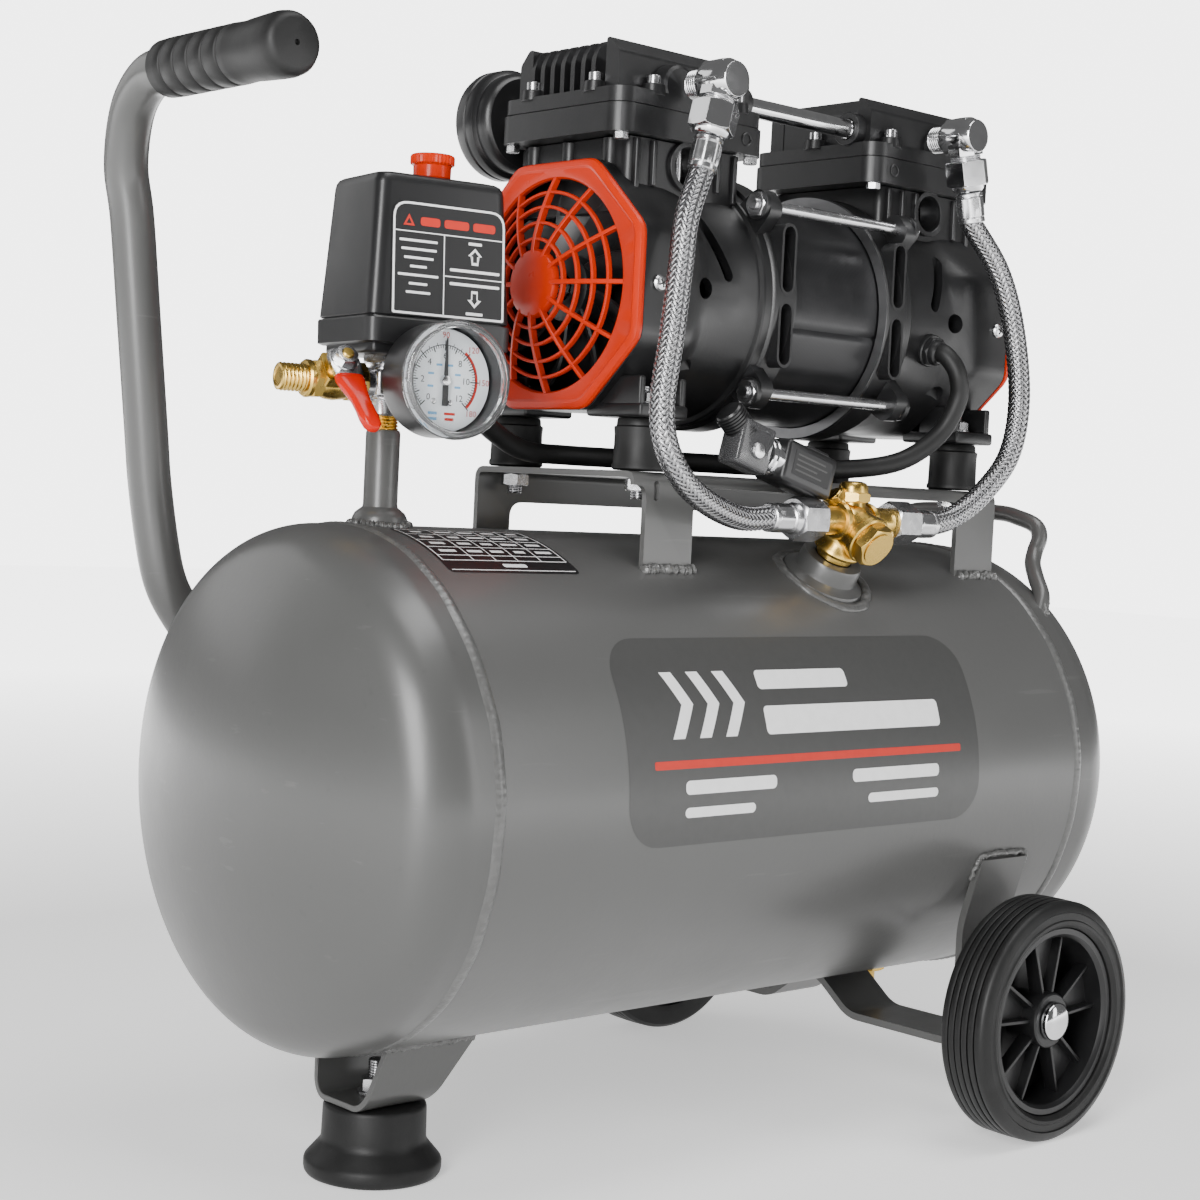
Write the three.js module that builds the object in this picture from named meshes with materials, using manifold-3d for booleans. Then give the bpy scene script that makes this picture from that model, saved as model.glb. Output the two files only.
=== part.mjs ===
// Portable "hotdog" air compressor: a horizontal cylindrical receiver on two wheels and one rubber
// foot, with a twin-cylinder oil-free pump, pressure switch, gauge, outlet valve and check valve.
// Units are millimetres, +Z is up. The receiver lies along X, with the handle and foot at -X and the
// wheels at +X. -Y is the side with the gauge and the check valve. The origin is on the ground, on
// the receiver's centre plane.

import * as THREE from 'three';
import { mergeVertices } from 'three/addons/utils/BufferGeometryUtils.js';
import Module from 'manifold-3d';

const wasm = await Module();
wasm.setup();

// ---------------------------------------------------------------- driving dimensions
const clearance = 0.3;              // between neighbouring pieces

const originX = 203;                // of the part's frame, in the coordinates used below
const tankRadius = 121;
const tankWall = 2.5;
const frontSeamX = 3;               // weld seams of the two heads
const rearSeamX = 411;
const tankZ = 184;                  // height of the receiver's axis
const headSkirt = 11.5;             // straight part of a dished head
const headKnuckle = 31;
const headCrown = 235;
const tankFacets = 32;

const wheelX = 357;
const wheelRadius = 63;
const wheelInnerY = 127;
const wheelOuterY = 157;
const rimRadius = 49;

const footX = 36;
const footBracketZ = 34;

const pumpX = 263;                  // middle of the twin pump
const motorZ = 425;                 // motor shaft height
const plateTopZ = 336;              // top of the motor bracket
const mountOffsetX = 119.5;         // rubber mounts from the middle of the pump
const mountOffsetY = 46.5;
const mountTopZ = 361.5;
const cylinderOffsetX = 92.5;       // cylinder axes from the middle of the pump
const crankThrow = 6;
const bellRadius = 61;
const tieRodY = 57;
const tieRodDz = 46.5;
const headBaseZ = 497;

const switchX = 32.5;               // origin of the switch, gauge and outlet group
const switchTurn = -9.7;            // switch, gauge and outlet are turned by this many degrees
const riserX = -8;                  // riser pipe, in that group
const manifoldZ = 370;
const gaugeRadius = 26.5;
const gaugeFaceY = -56.3;
const gaugeZ = 371.4;

const checkX = 262;                 // check valve boss along the receiver
const checkTilt = 31;               // degrees from vertical towards -Y
const safetyX = 200;                // safety valve along the receiver
const safetyTilt = 52;              // degrees from vertical towards +Y
const drainX = 388;
const hosePortRise = 155;           // hose ports' distance from the receiver's axis
const hoseRadius = 6;

// ---------------------------------------------------------------- finishes
function finish(color, roughness, metalness) {
  return new THREE.MeshStandardMaterial({ color, roughness, metalness });
}
const greyPaint = finish(0x6b6b69, 0.42, 0.1);
const blackPaint = finish(0x17181a, 0.45, 0.1);
const blackPlastic = finish(0x1b1b1d, 0.5, 0);
const blackRubber = finish(0x141414, 0.8, 0);
const redPlastic = finish(0xe02a08, 0.35, 0);
const zincSteel = finish(0xb9bcbf, 0.3, 1);
const chromeSteel = finish(0xd8dadc, 0.12, 1);
const brassMetal = finish(0xb98b36, 0.28, 1);
const laminations = finish(0x2a2c2f, 0.4, 0.6);
const clearPlastic = new THREE.MeshStandardMaterial({
  color: 0xe8eef0, roughness: 0.08, metalness: 0, transparent: true, opacity: 0.3,
});
const whiteEnamel = finish(0xf2f3f1, 0.5, 0);

// ---------------------------------------------------------------- solids: join and cut
function solid(geometry) {
  const bare = geometry.clone();
  for (const name of Object.keys(bare.attributes)) {
    if (name !== 'position') bare.deleteAttribute(name);
  }
  const merged = mergeVertices(bare, 1e-4);
  const position = merged.attributes.position;
  const triangles = [];
  let volume = 0;
  const corner = [new THREE.Vector3(), new THREE.Vector3(), new THREE.Vector3()];
  for (let i = 0; i < merged.index.count; i += 3) {
    const ids = [0, 1, 2].map((k) => merged.index.getX(i + k));
    if (ids[0] === ids[1] || ids[1] === ids[2] || ids[2] === ids[0]) continue;
    ids.forEach((id, k) => corner[k].fromBufferAttribute(position, id));
    volume += corner[0].dot(corner[1].clone().cross(corner[2]));
    triangles.push(ids);
  }
  if (volume < 0) triangles.forEach((ids) => ids.reverse());
  return new wasm.Manifold(new wasm.Mesh({
    numProp: 3,
    vertProperties: new Float32Array(position.array),
    triVerts: new Uint32Array(triangles.flat()),
  }));
}

function join(...solids) {
  return solids.flat().reduce((sum, next) => sum.add(next));
}

function cut(body, ...tools) {
  return tools.flat().reduce((rest, tool) => rest.subtract(tool), body);
}

function geometryOf(body) {
  const mesh = body.getMesh();
  const geometry = new THREE.BufferGeometry();
  geometry.setAttribute('position', new THREE.BufferAttribute(new Float32Array(mesh.vertProperties), 3));
  geometry.setIndex(new THREE.BufferAttribute(new Uint32Array(mesh.triVerts), 1));
  return geometry;
}

// ---------------------------------------------------------------- basic shapes, already placed
function block(x0, x1, y0, y1, z0, z1) {
  const geometry = new THREE.BoxGeometry(x1 - x0, y1 - y0, z1 - z0);
  geometry.translate((x0 + x1) / 2, (y0 + y1) / 2, (z0 + z1) / 2);
  return solid(geometry);
}

// A round bar, or a prism with few sides, from one point to another.
function bar(from, to, radius, sides = 16, endRadius = radius) {
  const start = new THREE.Vector3(...from);
  const end = new THREE.Vector3(...to);
  const along = end.clone().sub(start);
  const geometry = new THREE.CylinderGeometry(endRadius, radius, along.length(), sides);
  geometry.applyQuaternion(new THREE.Quaternion().setFromUnitVectors(
    new THREE.Vector3(0, 1, 0), along.normalize()));
  const middle = start.add(end).multiplyScalar(0.5);
  geometry.translate(middle.x, middle.y, middle.z);
  return solid(geometry);
}

// A turned shape: profile points are [radius, distance along the axis from the origin point].
function turnedGeometry(profile, origin, direction, segments = 24) {
  const points = profile.map(([radius, height]) => new THREE.Vector2(radius, height));
  const geometry = new THREE.LatheGeometry(points, segments);
  geometry.applyQuaternion(new THREE.Quaternion().setFromUnitVectors(
    new THREE.Vector3(0, 1, 0), new THREE.Vector3(...direction).normalize()));
  geometry.translate(...origin);
  return geometry;
}

function turned(profile, origin, direction, segments) {
  return solid(turnedGeometry(profile, origin, direction, segments));
}

// A closed ring of rectangular section.
function ring(innerRadius, outerRadius, from, to, origin, direction, segments = 24) {
  const profile = [
    [innerRadius, from], [outerRadius, from], [outerRadius, to], [innerRadius, to], [innerRadius, from],
  ];
  return turned(profile, origin, direction, segments);
}

// A flat outline of [y, z] points pushed along X, or of [x, z] points pushed along Y.
function pushedAlongX(outline, x0, x1) {
  const shape = new THREE.Shape(outline.map(([y, z]) => new THREE.Vector2(y, z)));
  const geometry = new THREE.ExtrudeGeometry(shape, { depth: x1 - x0, bevelEnabled: false });
  geometry.applyMatrix4(new THREE.Matrix4().set(0, 0, 1, x0, 1, 0, 0, 0, 0, 1, 0, 0, 0, 0, 0, 1));
  return solid(geometry);
}

function pushedAlongY(outline, y0, y1) {
  const shape = new THREE.Shape(outline.map(([x, z]) => new THREE.Vector2(x, z)));
  const geometry = new THREE.ExtrudeGeometry(shape, { depth: y1 - y0, bevelEnabled: false });
  geometry.applyMatrix4(new THREE.Matrix4().set(1, 0, 0, 0, 0, 0, 1, y0, 0, 1, 0, 0, 0, 0, 0, 1));
  return solid(geometry);
}

// The closed outline of a bent strip, from its centre line and thickness.
function stripOutline(line, thickness) {
  const points = line.map(([a, b]) => new THREE.Vector2(a, b));
  const side = points.map((point, i) => {
    const before = points[Math.max(i - 1, 0)];
    const after = points[Math.min(i + 1, points.length - 1)];
    const first = point.clone().sub(before).normalize();
    const second = after.clone().sub(point).normalize();
    if (i === 0) first.copy(second);
    if (i === points.length - 1) second.copy(first);
    const mean = first.clone().add(second).normalize();
    const reach = thickness / 2 / Math.max(mean.dot(second), 0.3);
    return new THREE.Vector2(-mean.y, mean.x).multiplyScalar(reach);
  });
  const left = points.map((point, i) => point.clone().add(side[i]).toArray());
  const right = points.map((point, i) => point.clone().sub(side[i]).toArray());
  return left.concat(right.reverse());
}

// A round bar along a smooth curve.
function swept(points, radius, sides, steps, tension = 0.5) {
  const curve = new THREE.CatmullRomCurve3(points.map((p) => new THREE.Vector3(...p)), false,
    'catmullrom', tension);
  const section = new THREE.Shape();
  for (let i = 0; i < sides; i += 1) {
    const angle = (2 * Math.PI * i) / sides;
    const x = radius * Math.cos(angle);
    const y = radius * Math.sin(angle);
    if (i === 0) section.moveTo(x, y);
    else section.lineTo(x, y);
  }
  return solid(new THREE.ExtrudeGeometry(section, { steps, extrudePath: curve, bevelEnabled: false }));
}

function mirroredX(geometry, middleX) {
  const copy = geometry.clone();
  copy.applyMatrix4(new THREE.Matrix4().makeScale(-1, 1, 1));
  copy.translate(2 * middleX, 0, 0);
  return geometryOf(solid(copy));
}

// ---------------------------------------------------------------- scene graph
const compressor = new THREE.Group();
compressor.position.set(-originX, 0, 0);

const switchGroup = new THREE.Group();
switchGroup.position.set(switchX, 0, 0);
switchGroup.rotation.z = THREE.MathUtils.degToRad(switchTurn);

const checkGroup = new THREE.Group();
checkGroup.position.set(checkX, 0, tankZ);
checkGroup.rotation.x = THREE.MathUtils.degToRad(checkTilt);

compressor.add(switchGroup, checkGroup);

function add(group, name, shape, material) {
  const geometry = shape instanceof THREE.BufferGeometry ? shape : geometryOf(shape);
  const mesh = new THREE.Mesh(geometry, material);
  mesh.name = name;
  group.add(mesh);
}

// ---------------------------------------------------------------- receiver
const xAxis = [1, 0, 0];
const yAxis = [0, 1, 0];
const zAxis = [0, 0, 1];
const origin = [0, 0, 0];
const tankStart = [frontSeamX, 0, tankZ];
const seamToSeam = rearSeamX - frontSeamX;

// The receiver's shell with clearance, as a cutter for what sits on it, in a group's own frame.
function tankCutter(group = new THREE.Group()) {
  const radius = tankRadius + clearance;
  const geometry = turnedGeometry([[0, -150], [radius, -150], [radius, 600], [0, 600]],
    tankStart, xAxis, tankFacets);
  group.updateMatrix();
  return solid(geometry.applyMatrix4(group.matrix.clone().invert()));
}
const tankEnvelope = tankCutter();

// Half section of a dished head from its crown to its skirt, as [radius, distance from the seam].
function headArc(offset, crownSteps, knuckleSteps) {
  const crownCentre = headSkirt
    - Math.sqrt((headCrown - headKnuckle) ** 2 - (tankRadius - headKnuckle) ** 2);
  const joint = Math.atan2(tankRadius - headKnuckle, headSkirt - crownCentre);
  const points = [];
  for (let i = 0; i <= crownSteps; i += 1) {
    const angle = (joint * i) / crownSteps;
    const radius = headCrown + offset;
    points.push([radius * Math.sin(angle), crownCentre + radius * Math.cos(angle)]);
  }
  for (let i = 1; i <= knuckleSteps; i += 1) {
    const angle = joint + ((Math.PI / 2 - joint) * i) / knuckleSteps;
    const radius = headKnuckle + offset;
    points.push([
      tankRadius - headKnuckle + radius * Math.sin(angle),
      headSkirt + radius * Math.cos(angle),
    ]);
  }
  return points;
}

function dishedHead(seamX, direction) {
  const weldBead = [[tankRadius, 4], [tankRadius + 1.2, 2], [tankRadius, clearance]];
  const outer = headArc(0, 3, 3);
  const inner = headArc(-tankWall, 1, 1).reverse();
  const profile = [...outer, ...weldBead, [tankRadius - tankWall, clearance], ...inner];
  return turned(profile, [seamX, 0, tankZ], direction, tankFacets);
}

function headEnvelope(seamX, direction) {
  const profile = [...headArc(clearance, 3, 3), [tankRadius + clearance, 0], [0, 0]];
  return turned(profile, [seamX, 0, tankZ], direction, tankFacets);
}

const riserBore = 4.5;
const checkDirection = new THREE.Vector3(0, 0, 1).applyEuler(checkGroup.rotation).toArray();
function alongCheck(distance) {
  return [checkX, checkDirection[1] * distance, tankZ + checkDirection[2] * distance];
}
function alongRiser(distance) {
  const place = new THREE.Vector3(riserX, 0, distance).applyEuler(switchGroup.rotation);
  return [switchX + place.x, place.y, tankZ + distance];
}
const safetyAngle = THREE.MathUtils.degToRad(safetyTilt);
const safetyDirection = [0, Math.sin(safetyAngle), Math.cos(safetyAngle)];
function alongSafety(distance) {
  return [safetyX, safetyDirection[1] * distance, tankZ + safetyDirection[2] * distance];
}

add(compressor, 'tank_shell', cut(
  ring(tankRadius - tankWall, tankRadius, clearance, seamToSeam - clearance, tankStart, xAxis, tankFacets),
  bar(alongRiser(100), alongRiser(140), riserBore, 8),
  bar(alongCheck(100), alongCheck(140), riserBore, 8),
  bar(alongSafety(100), alongSafety(140), riserBore, 8),
  bar([drainX, 0, tankZ - 140], [drainX, 0, tankZ - 100], riserBore, 8),
), greyPaint);
add(compressor, 'tank_head_front', dishedHead(frontSeamX, [-1, 0, 0]), greyPaint);
add(compressor, 'tank_head_rear', dishedHead(rearSeamX, xAxis), greyPaint);

const tankBottomZ = tankZ - tankRadius;
add(compressor, 'drain_cock', cut(
  join(
    bar([drainX, 0, tankBottomZ + 4], [drainX, 0, tankBottomZ - 5], 9, 6),
    bar([drainX, 0, tankBottomZ - 5], [drainX, 0, tankBottomZ - 13], 4.5, 10),
    block(drainX - 9, drainX + 9, -1.5, 1.5, tankBottomZ - 19, tankBottomZ - 12),
  ),
  tankEnvelope,
  bar([drainX, 0, tankBottomZ + 8], [drainX, 0, tankBottomZ - 10], 2, 8),
), brassMetal);

// ---------------------------------------------------------------- foot
function footBracket() {
  const halfWidth = 21.5;
  const sheet = 3;
  const line = [
    [-halfWidth - 7.5, 73], [-halfWidth + 1, footBracketZ + 6], [-halfWidth + 6, footBracketZ + sheet / 2],
    [halfWidth - 6, footBracketZ + sheet / 2], [halfWidth - 1, footBracketZ + 6], [halfWidth + 7.5, 73],
  ];
  const trough = pushedAlongX(stripOutline(line, sheet), footX - 40, footX + 50);
  const sideView = [
    [footX - 21, footBracketZ - 5], [footX + 16, footBracketZ - 5], [footX + 20, footBracketZ + 3],
    [footX + 26, footBracketZ + 18], [footX + 38, footBracketZ + 38], [footX - 12, footBracketZ + 38],
  ];
  return cut(
    trough.intersect(pushedAlongY(sideView, -60, 60)),
    tankEnvelope,
    bar([footX, 0, 20], [footX, 0, 50], 4.4, 12),
  );
}

add(compressor, 'foot_bracket', footBracket(), greyPaint);
add(compressor, 'rubber_foot', turned([
  [4.4, 7], [13, 7], [13, 0], [31, 0], [32.6, 3], [32, 8], [24.5, 21], [24.5, footBracketZ - clearance],
  [4.4, footBracketZ - clearance], [4.4, 7],
], [footX, 0, 0], zAxis, 20), blackRubber);
add(compressor, 'foot_bolt', join(
  bar([footX, 0, 3], [footX, 0, 7 - clearance], 11, 12),
  bar([footX, 0, 5], [footX, 0, 54], 4, 12),
  bar([footX, 0, footBracketZ + 3 + clearance], [footX, 0, footBracketZ + 10], 7.5, 6),
), zincSteel);

// ---------------------------------------------------------------- wheels
const strapY = 104;
const strapThickness = 4;

function wheelBracket() {
  const half = [
    [6, 61.4], [30, 43], [98, 43], [strapY, 50], [strapY, 106], [115.5, 146],
  ];
  const line = [...half.map(([y, z]) => [-y, z]).reverse(), ...half];
  return cut(
    pushedAlongX(stripOutline(line, strapThickness), wheelX - 19, wheelX + 19),
    tankEnvelope,
    bar([wheelX, -130, wheelRadius], [wheelX, 130, wheelRadius], 6.3, 12),
  );
}

add(compressor, 'wheel_bracket', wheelBracket(), greyPaint);

function tyre(side) {
  const profile = [
    [rimRadius + 0.3, wheelInnerY + 2], [wheelRadius - 5, wheelInnerY], [wheelRadius, wheelInnerY + 5],
    [wheelRadius, wheelOuterY - 5], [wheelRadius - 5, wheelOuterY], [rimRadius + 0.3, wheelOuterY - 2],
    [rimRadius + 0.3, wheelInnerY + 2],
  ];
  return turned(profile, [wheelX, 0, wheelRadius], [0, side, 0], 28);
}

function rim(side) {
  const boreRadius = 6.3;
  const faceY = wheelOuterY - 3;
  const profile = [
    [boreRadius, wheelInnerY - 4], [13, wheelInnerY - 4], [13, faceY - 14], [rimRadius - 5, faceY - 14],
    [rimRadius - 5, wheelInnerY + 3], [rimRadius, wheelInnerY + 3], [rimRadius, faceY],
    [rimRadius - 5, faceY], [rimRadius - 5, faceY - 9], [13, faceY - 9], [13, faceY - 2],
    [boreRadius, faceY - 2], [boreRadius, wheelInnerY - 4],
  ];
  const windows = [];
  const windowCount = 5;
  for (let i = 0; i < windowCount; i += 1) {
    const start = ((2 * Math.PI) / windowCount) * i + 0.14;
    const end = start + (2 * Math.PI) / windowCount - 0.28;
    const wedge = new THREE.Shape([[17, start], [40, start], [40, end], [17, end]].map(
      ([radius, angle]) => new THREE.Vector2(radius * Math.cos(angle), radius * Math.sin(angle))));
    const geometry = new THREE.ExtrudeGeometry(wedge, { depth: 40, bevelEnabled: false });
    geometry.rotateX(Math.PI / 2);
    geometry.translate(wheelX, side > 0 ? 165 : -125, wheelRadius);
    windows.push(solid(geometry));
  }
  return cut(turned(profile, [wheelX, 0, wheelRadius], [0, side, 0], 20), windows);
}

function axleBolt(side) {
  const faceY = wheelOuterY - 5 + clearance;
  return join(
    turned([[0, faceY], [10, faceY], [10, faceY + 2], [6, faceY + 6], [0, faceY + 6]],
      [wheelX, 0, wheelRadius], [0, side, 0], 12),
    bar([wheelX, side * (faceY + 1), wheelRadius], [wheelX, side * 90, wheelRadius], 6, 12),
    bar([wheelX, side * (strapY + 2.3), wheelRadius],
      [wheelX, side * (wheelInnerY - 4.3), wheelRadius], 9, 12),
    bar([wheelX, side * (strapY - 2.3), wheelRadius], [wheelX, side * (strapY - 9), wheelRadius], 10.5, 6),
  );
}

for (const [label, side] of [['near', -1], ['far', 1]]) {
  add(compressor, `axle_bolt_${label}`, axleBolt(side), chromeSteel);
  add(compressor, `tyre_${label}`, tyre(side), blackRubber);
  add(compressor, `rim_${label}`, rim(side), blackPlastic);
}

// ---------------------------------------------------------------- handles
const handleY = 119.7;
const handleRadius = 10.5;
const gripX = -54;
const gripZ = 509;
const gripEndY = -30;
const gripStartY = 72;

add(compressor, 'carry_handle', cut(
  swept([
    [44, handleY - 3, 223], [24, handleY - 3, 232], [4, handleY - 2.5, 243], [-9, handleY - 2, 257.5],
    [-17.3, handleY - 1.5, 272], [-22.5, handleY - 1, 292], [-27, handleY, 320], [-30, handleY, 345],
    [-36, handleY, 395], [-42, handleY, 445], [-47, handleY - 1, 470],
    [-51, handleY - 12, 494], [-53.5, handleY - 30, 506.5], [gripX, gripStartY, gripZ],
    [gripX, 40, gripZ], [gripX, 10, gripZ], [gripX, gripEndY + 8, gripZ],
  ], handleRadius, 10, 22),
  tankEnvelope.subtract(block(-400, frontSeamX - 0.2, -200, 200, 0, 400)),
  headEnvelope(frontSeamX, [-1, 0, 0]),
), greyPaint);

add(compressor, 'handle_grip', turned([
  [handleRadius + 0.4, -gripStartY + 1], [13.2, -gripStartY + 1], [13.6, -gripStartY + 50],
  [13.2, -gripEndY - 22], [14.2, -gripEndY - 14], [14.2, -gripEndY - 6], [12, -gripEndY],
  [0, -gripEndY + 1.5], [0, -gripEndY - 5],
  [handleRadius + 0.4, -gripEndY - 5], [handleRadius + 0.4, -gripStartY + 1],
], [gripX, 0, gripZ], [0, -1, 0], 16), blackRubber);

function liftHandle() {
  const half = [
    [424, 80, 269], [430, 77, 279], [436, 68, 289], [443, 60, 297], [448.5, 57, 304], [452, 57, 312],
    [453, 53, 318.5], [452, 42, 322.6], [452, 25, 325.2],
  ];
  const path = [...half.map(([x, y, z]) => [x, -y, z]), ...half.slice().reverse()];
  return cut(swept(path, 4.25, 6, 22), headEnvelope(rearSeamX, xAxis));
}

add(compressor, 'lift_handle', liftHandle(), greyPaint);

// ---------------------------------------------------------------- motor bracket and mounts
function motorBracket() {
  const halfWidth = 58.5;
  const sheet = 3;
  const midZ = plateTopZ - sheet / 2;
  const line = [
    [-halfWidth, 270], [-halfWidth, midZ - 4], [-halfWidth + 4, midZ], [halfWidth - 4, midZ],
    [halfWidth, midZ - 4], [halfWidth, 270],
  ];
  const fullLength = pushedAlongX(stripOutline(line, sheet), pumpX - 135, pumpX + 142);
  const holes = [];
  for (const x of [-mountOffsetX, mountOffsetX]) {
    for (const y of [-mountOffsetY, mountOffsetY]) {
      holes.push(bar([pumpX + x, y, plateTopZ - 10], [pumpX + x, y, plateTopZ + 5], 4.4, 10));
    }
  }
  return cut(fullLength, tankEnvelope, holes,
    block(168, 372, -70, -50, 260, midZ - 5),
    block(100, 136, -70, -50, 260, midZ - 5));
}

add(compressor, 'motor_bracket', motorBracket(), greyPaint);

function rubberMount(x, y) {
  const nutTop = plateTopZ - 3 - clearance;
  return join(
    bar([x, y, plateTopZ + clearance], [x, y, mountTopZ], 13.8, 12, 13.2),
    bar([x, y, nutTop - 10], [x, y, mountTopZ + 14], 4, 6),
    bar([x, y, nutTop - 6], [x, y, nutTop], 7.2, 6),
    bar([x, y, mountTopZ + 7.3], [x, y, mountTopZ + 12], 7.2, 6),
  );
}

for (const [xLabel, xSide] of [['front', -1], ['rear', 1]]) {
  for (const [yLabel, ySide] of [['near', -1], ['far', 1]]) {
    add(compressor, `rubber_mount_${xLabel}_${yLabel}`,
      rubberMount(pumpX + xSide * mountOffsetX, ySide * mountOffsetY), blackRubber);
  }
}

// ---------------------------------------------------------------- pump, front half (mirrored for the rear)
const frontCylinderX = pumpX - cylinderOffsetX;
const shroudFrontX = 124;
const bellBackX = 214;
const pumpAxis = [0, 0, motorZ];

function octagon(halfY, halfZ) {
  const corner = 0.44;
  return [
    [-halfY, -halfZ * corner], [-halfY * corner, -halfZ],
    [halfY * corner, -halfZ], [halfY, -halfZ * corner],
    [halfY, halfZ * corner], [halfY * corner, halfZ],
    [-halfY * corner, halfZ], [-halfY, halfZ * corner],
  ].map(([y, z]) => [y, motorZ + z]);
}

const tieRodPlaces = [
  { name: 'near_upper', y: -tieRodY, z: motorZ + tieRodDz },
  { name: 'near_lower', y: -tieRodY, z: motorZ - tieRodDz },
  { name: 'far_upper', y: tieRodY, z: motorZ + tieRodDz },
  { name: 'far_lower', y: tieRodY, z: motorZ - tieRodDz },
];
const earX = 207;

// A lug on the end bell for a tie rod, at an angle from straight up.
function tieRodEar(angle) {
  const outline = [[-9, 57], [9, 57], [7.5, 80], [-7.5, 80]].map(([across, out]) => [
    out * Math.sin(angle) + across * Math.cos(angle),
    motorZ + out * Math.cos(angle) - across * Math.sin(angle),
  ]);
  return pushedAlongX(outline, earX, bellBackX);
}

function crankcase() {
  const shaftBore = 6.5;
  const ears = tieRodPlaces.map(({ y, z }) => tieRodEar(Math.atan2(y, z - motorZ)));
  const feet = [
    block(128, 160, -62, -20, mountTopZ + clearance, mountTopZ + 7),
    block(128, 160, 20, 62, mountTopZ + clearance, mountTopZ + 7),
    block(shroudFrontX + 2, 164, -40, -24, mountTopZ + clearance, mountTopZ + 16),
    block(shroudFrontX + 2, 164, 24, 40, mountTopZ + clearance, mountTopZ + 16),
  ];
  const outside = join(
    pushedAlongX(octagon(64, 60.5), shroudFrontX, 166),
    bar([160, 0, motorZ], [bellBackX, 0, motorZ], bellRadius, 24),
    ring(60.4, 64, 208, 228, pumpAxis, xAxis, 24),
    block(frontCylinderX - 38, frontCylinderX + 38, -40, 40, motorZ + 40, headBaseZ - clearance),
    feet,
    ears,
  );
  const fanChamber = pushedAlongX(octagon(60, 56.5), shroudFrontX - 1, 150);
  const crankChamber = bar([154, 0, motorZ], [200, 0, motorZ], 55, 16);
  const motorChamber = bar([204, 0, motorZ], [bellBackX + 1, 0, motorZ], 55, 16);
  const cylinderBore = bar([frontCylinderX, 0, motorZ + 30], [frontCylinderX, 0, headBaseZ + 5], 30, 16);
  const window = bar([frontCylinderX, -80, motorZ + 60], [frontCylinderX, 0, motorZ + 60], 9.5, 10);
  const rodHoles = tieRodPlaces.map(({ y, z }) => bar([earX - 7, y, z], [bellBackX + 6, y, z], 3.4, 6));
  const mountHoles = [-1, 1].map((side) => bar(
    [pumpX - mountOffsetX, side * mountOffsetY, mountTopZ - 1],
    [pumpX - mountOffsetX, side * mountOffsetY, mountTopZ + 20], 4.8, 8));
  const nutRoom = [-1, 1].map((side) => bar(
    [pumpX - mountOffsetX, side * mountOffsetY, mountTopZ + 7],
    [pumpX - mountOffsetX, side * mountOffsetY, mountTopZ + 24], 9.5, 8));
  return cut(outside, fanChamber, crankChamber, motorChamber, cylinderBore, window,
    rodHoles, mountHoles, nutRoom,
    bar([140, 0, motorZ], [bellBackX + 5, 0, motorZ], shaftBore, 12));
}

function cylinderHead() {
  const baseX0 = 120;
  const baseX1 = 222;
  const coverZ = headBaseZ + 22;
  const topZ = headBaseZ + 48;
  const chamfer = 7;
  const cover = pushedAlongX([
    [-36, coverZ - 1], [36, coverZ - 1], [36, topZ - chamfer],
    [26, topZ], [-26, topZ], [-36, topZ - chamfer],
  ], baseX0 + 6, baseX1 - 6);
  const base = pushedAlongY([
    [baseX0, headBaseZ + 3], [baseX0 + 4, headBaseZ], [baseX1 - 4, headBaseZ], [baseX1, headBaseZ + 3],
    [baseX1, coverZ], [baseX0, coverZ],
  ], -46, 46);
  const grooves = [];
  for (let y = -28; y <= 30; y += 8) {
    grooves.push(block(baseX0, baseX0 + 14, y - 2, y + 2, coverZ + 1, topZ + 2));
    grooves.push(block(baseX0, baseX1 - 24, y - 2, y + 2, topZ - 4, topZ + 2));
  }
  return cut(join(cover, base), grooves);
}

function octagonGuard() {
  const frontX = 120;
  const hubX = 108;
  const openRadius = 52;
  const hubRadius = 16;
  const ringRadius = 34;
  const ringX = 112;
  const face = cut(
    join(pushedAlongX(octagon(65, 60.5), frontX + 2, shroudFrontX - clearance),
      pushedAlongX(octagon(61, 57), frontX, frontX + 3)),
    bar([frontX - 5, 0, motorZ], [frontX + 10, 0, motorZ], openRadius, 20));
  const spokeCount = 6;
  const spokes = [];
  for (let i = 0; i < spokeCount; i += 1) {
    const angle = (2 * Math.PI * (i + 0.5)) / spokeCount;
    const outline = [
      [hubX + 0.5, hubRadius - 3], [ringX, ringRadius], [frontX + 1, openRadius + 2],
      [frontX + 3, openRadius + 2], [ringX + 2.5, ringRadius], [hubX + 2.5, hubRadius - 3],
    ];
    const shape = new THREE.Shape(outline.map(([x, out]) => new THREE.Vector2(x, out)));
    const geometry = new THREE.ExtrudeGeometry(shape, { depth: 2, bevelEnabled: false });
    geometry.translate(0, 0, -1);
    geometry.rotateX(angle);
    geometry.translate(0, 0, motorZ);
    spokes.push(solid(geometry));
  }
  return join(face, spokes,
    bar([hubX, 0, motorZ], [hubX + 3, 0, motorZ], hubRadius, 12),
    ring(ringRadius - 1.5, ringRadius + 1.5, ringX, ringX + 2.5, pumpAxis, xAxis, 12));
}

function fan() {
  const x0 = 129;
  const x1 = 146;
  const blades = [];
  for (let i = 0; i < 7; i += 1) {
    const geometry = new THREE.BoxGeometry(16, 1.6, 34);
    geometry.rotateZ(0.6);
    geometry.translate((x0 + x1) / 2, 0, 31);
    geometry.rotateX((2 * Math.PI * i) / 7);
    geometry.translate(0, 0, motorZ);
    blades.push(solid(geometry));
  }
  return cut(join(bar([x0, 0, motorZ], [x1, 0, motorZ], 17, 12), blades),
    bar([x0 - 5, 0, motorZ], [x1 + 5, 0, motorZ], 6.6, 12));
}

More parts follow.
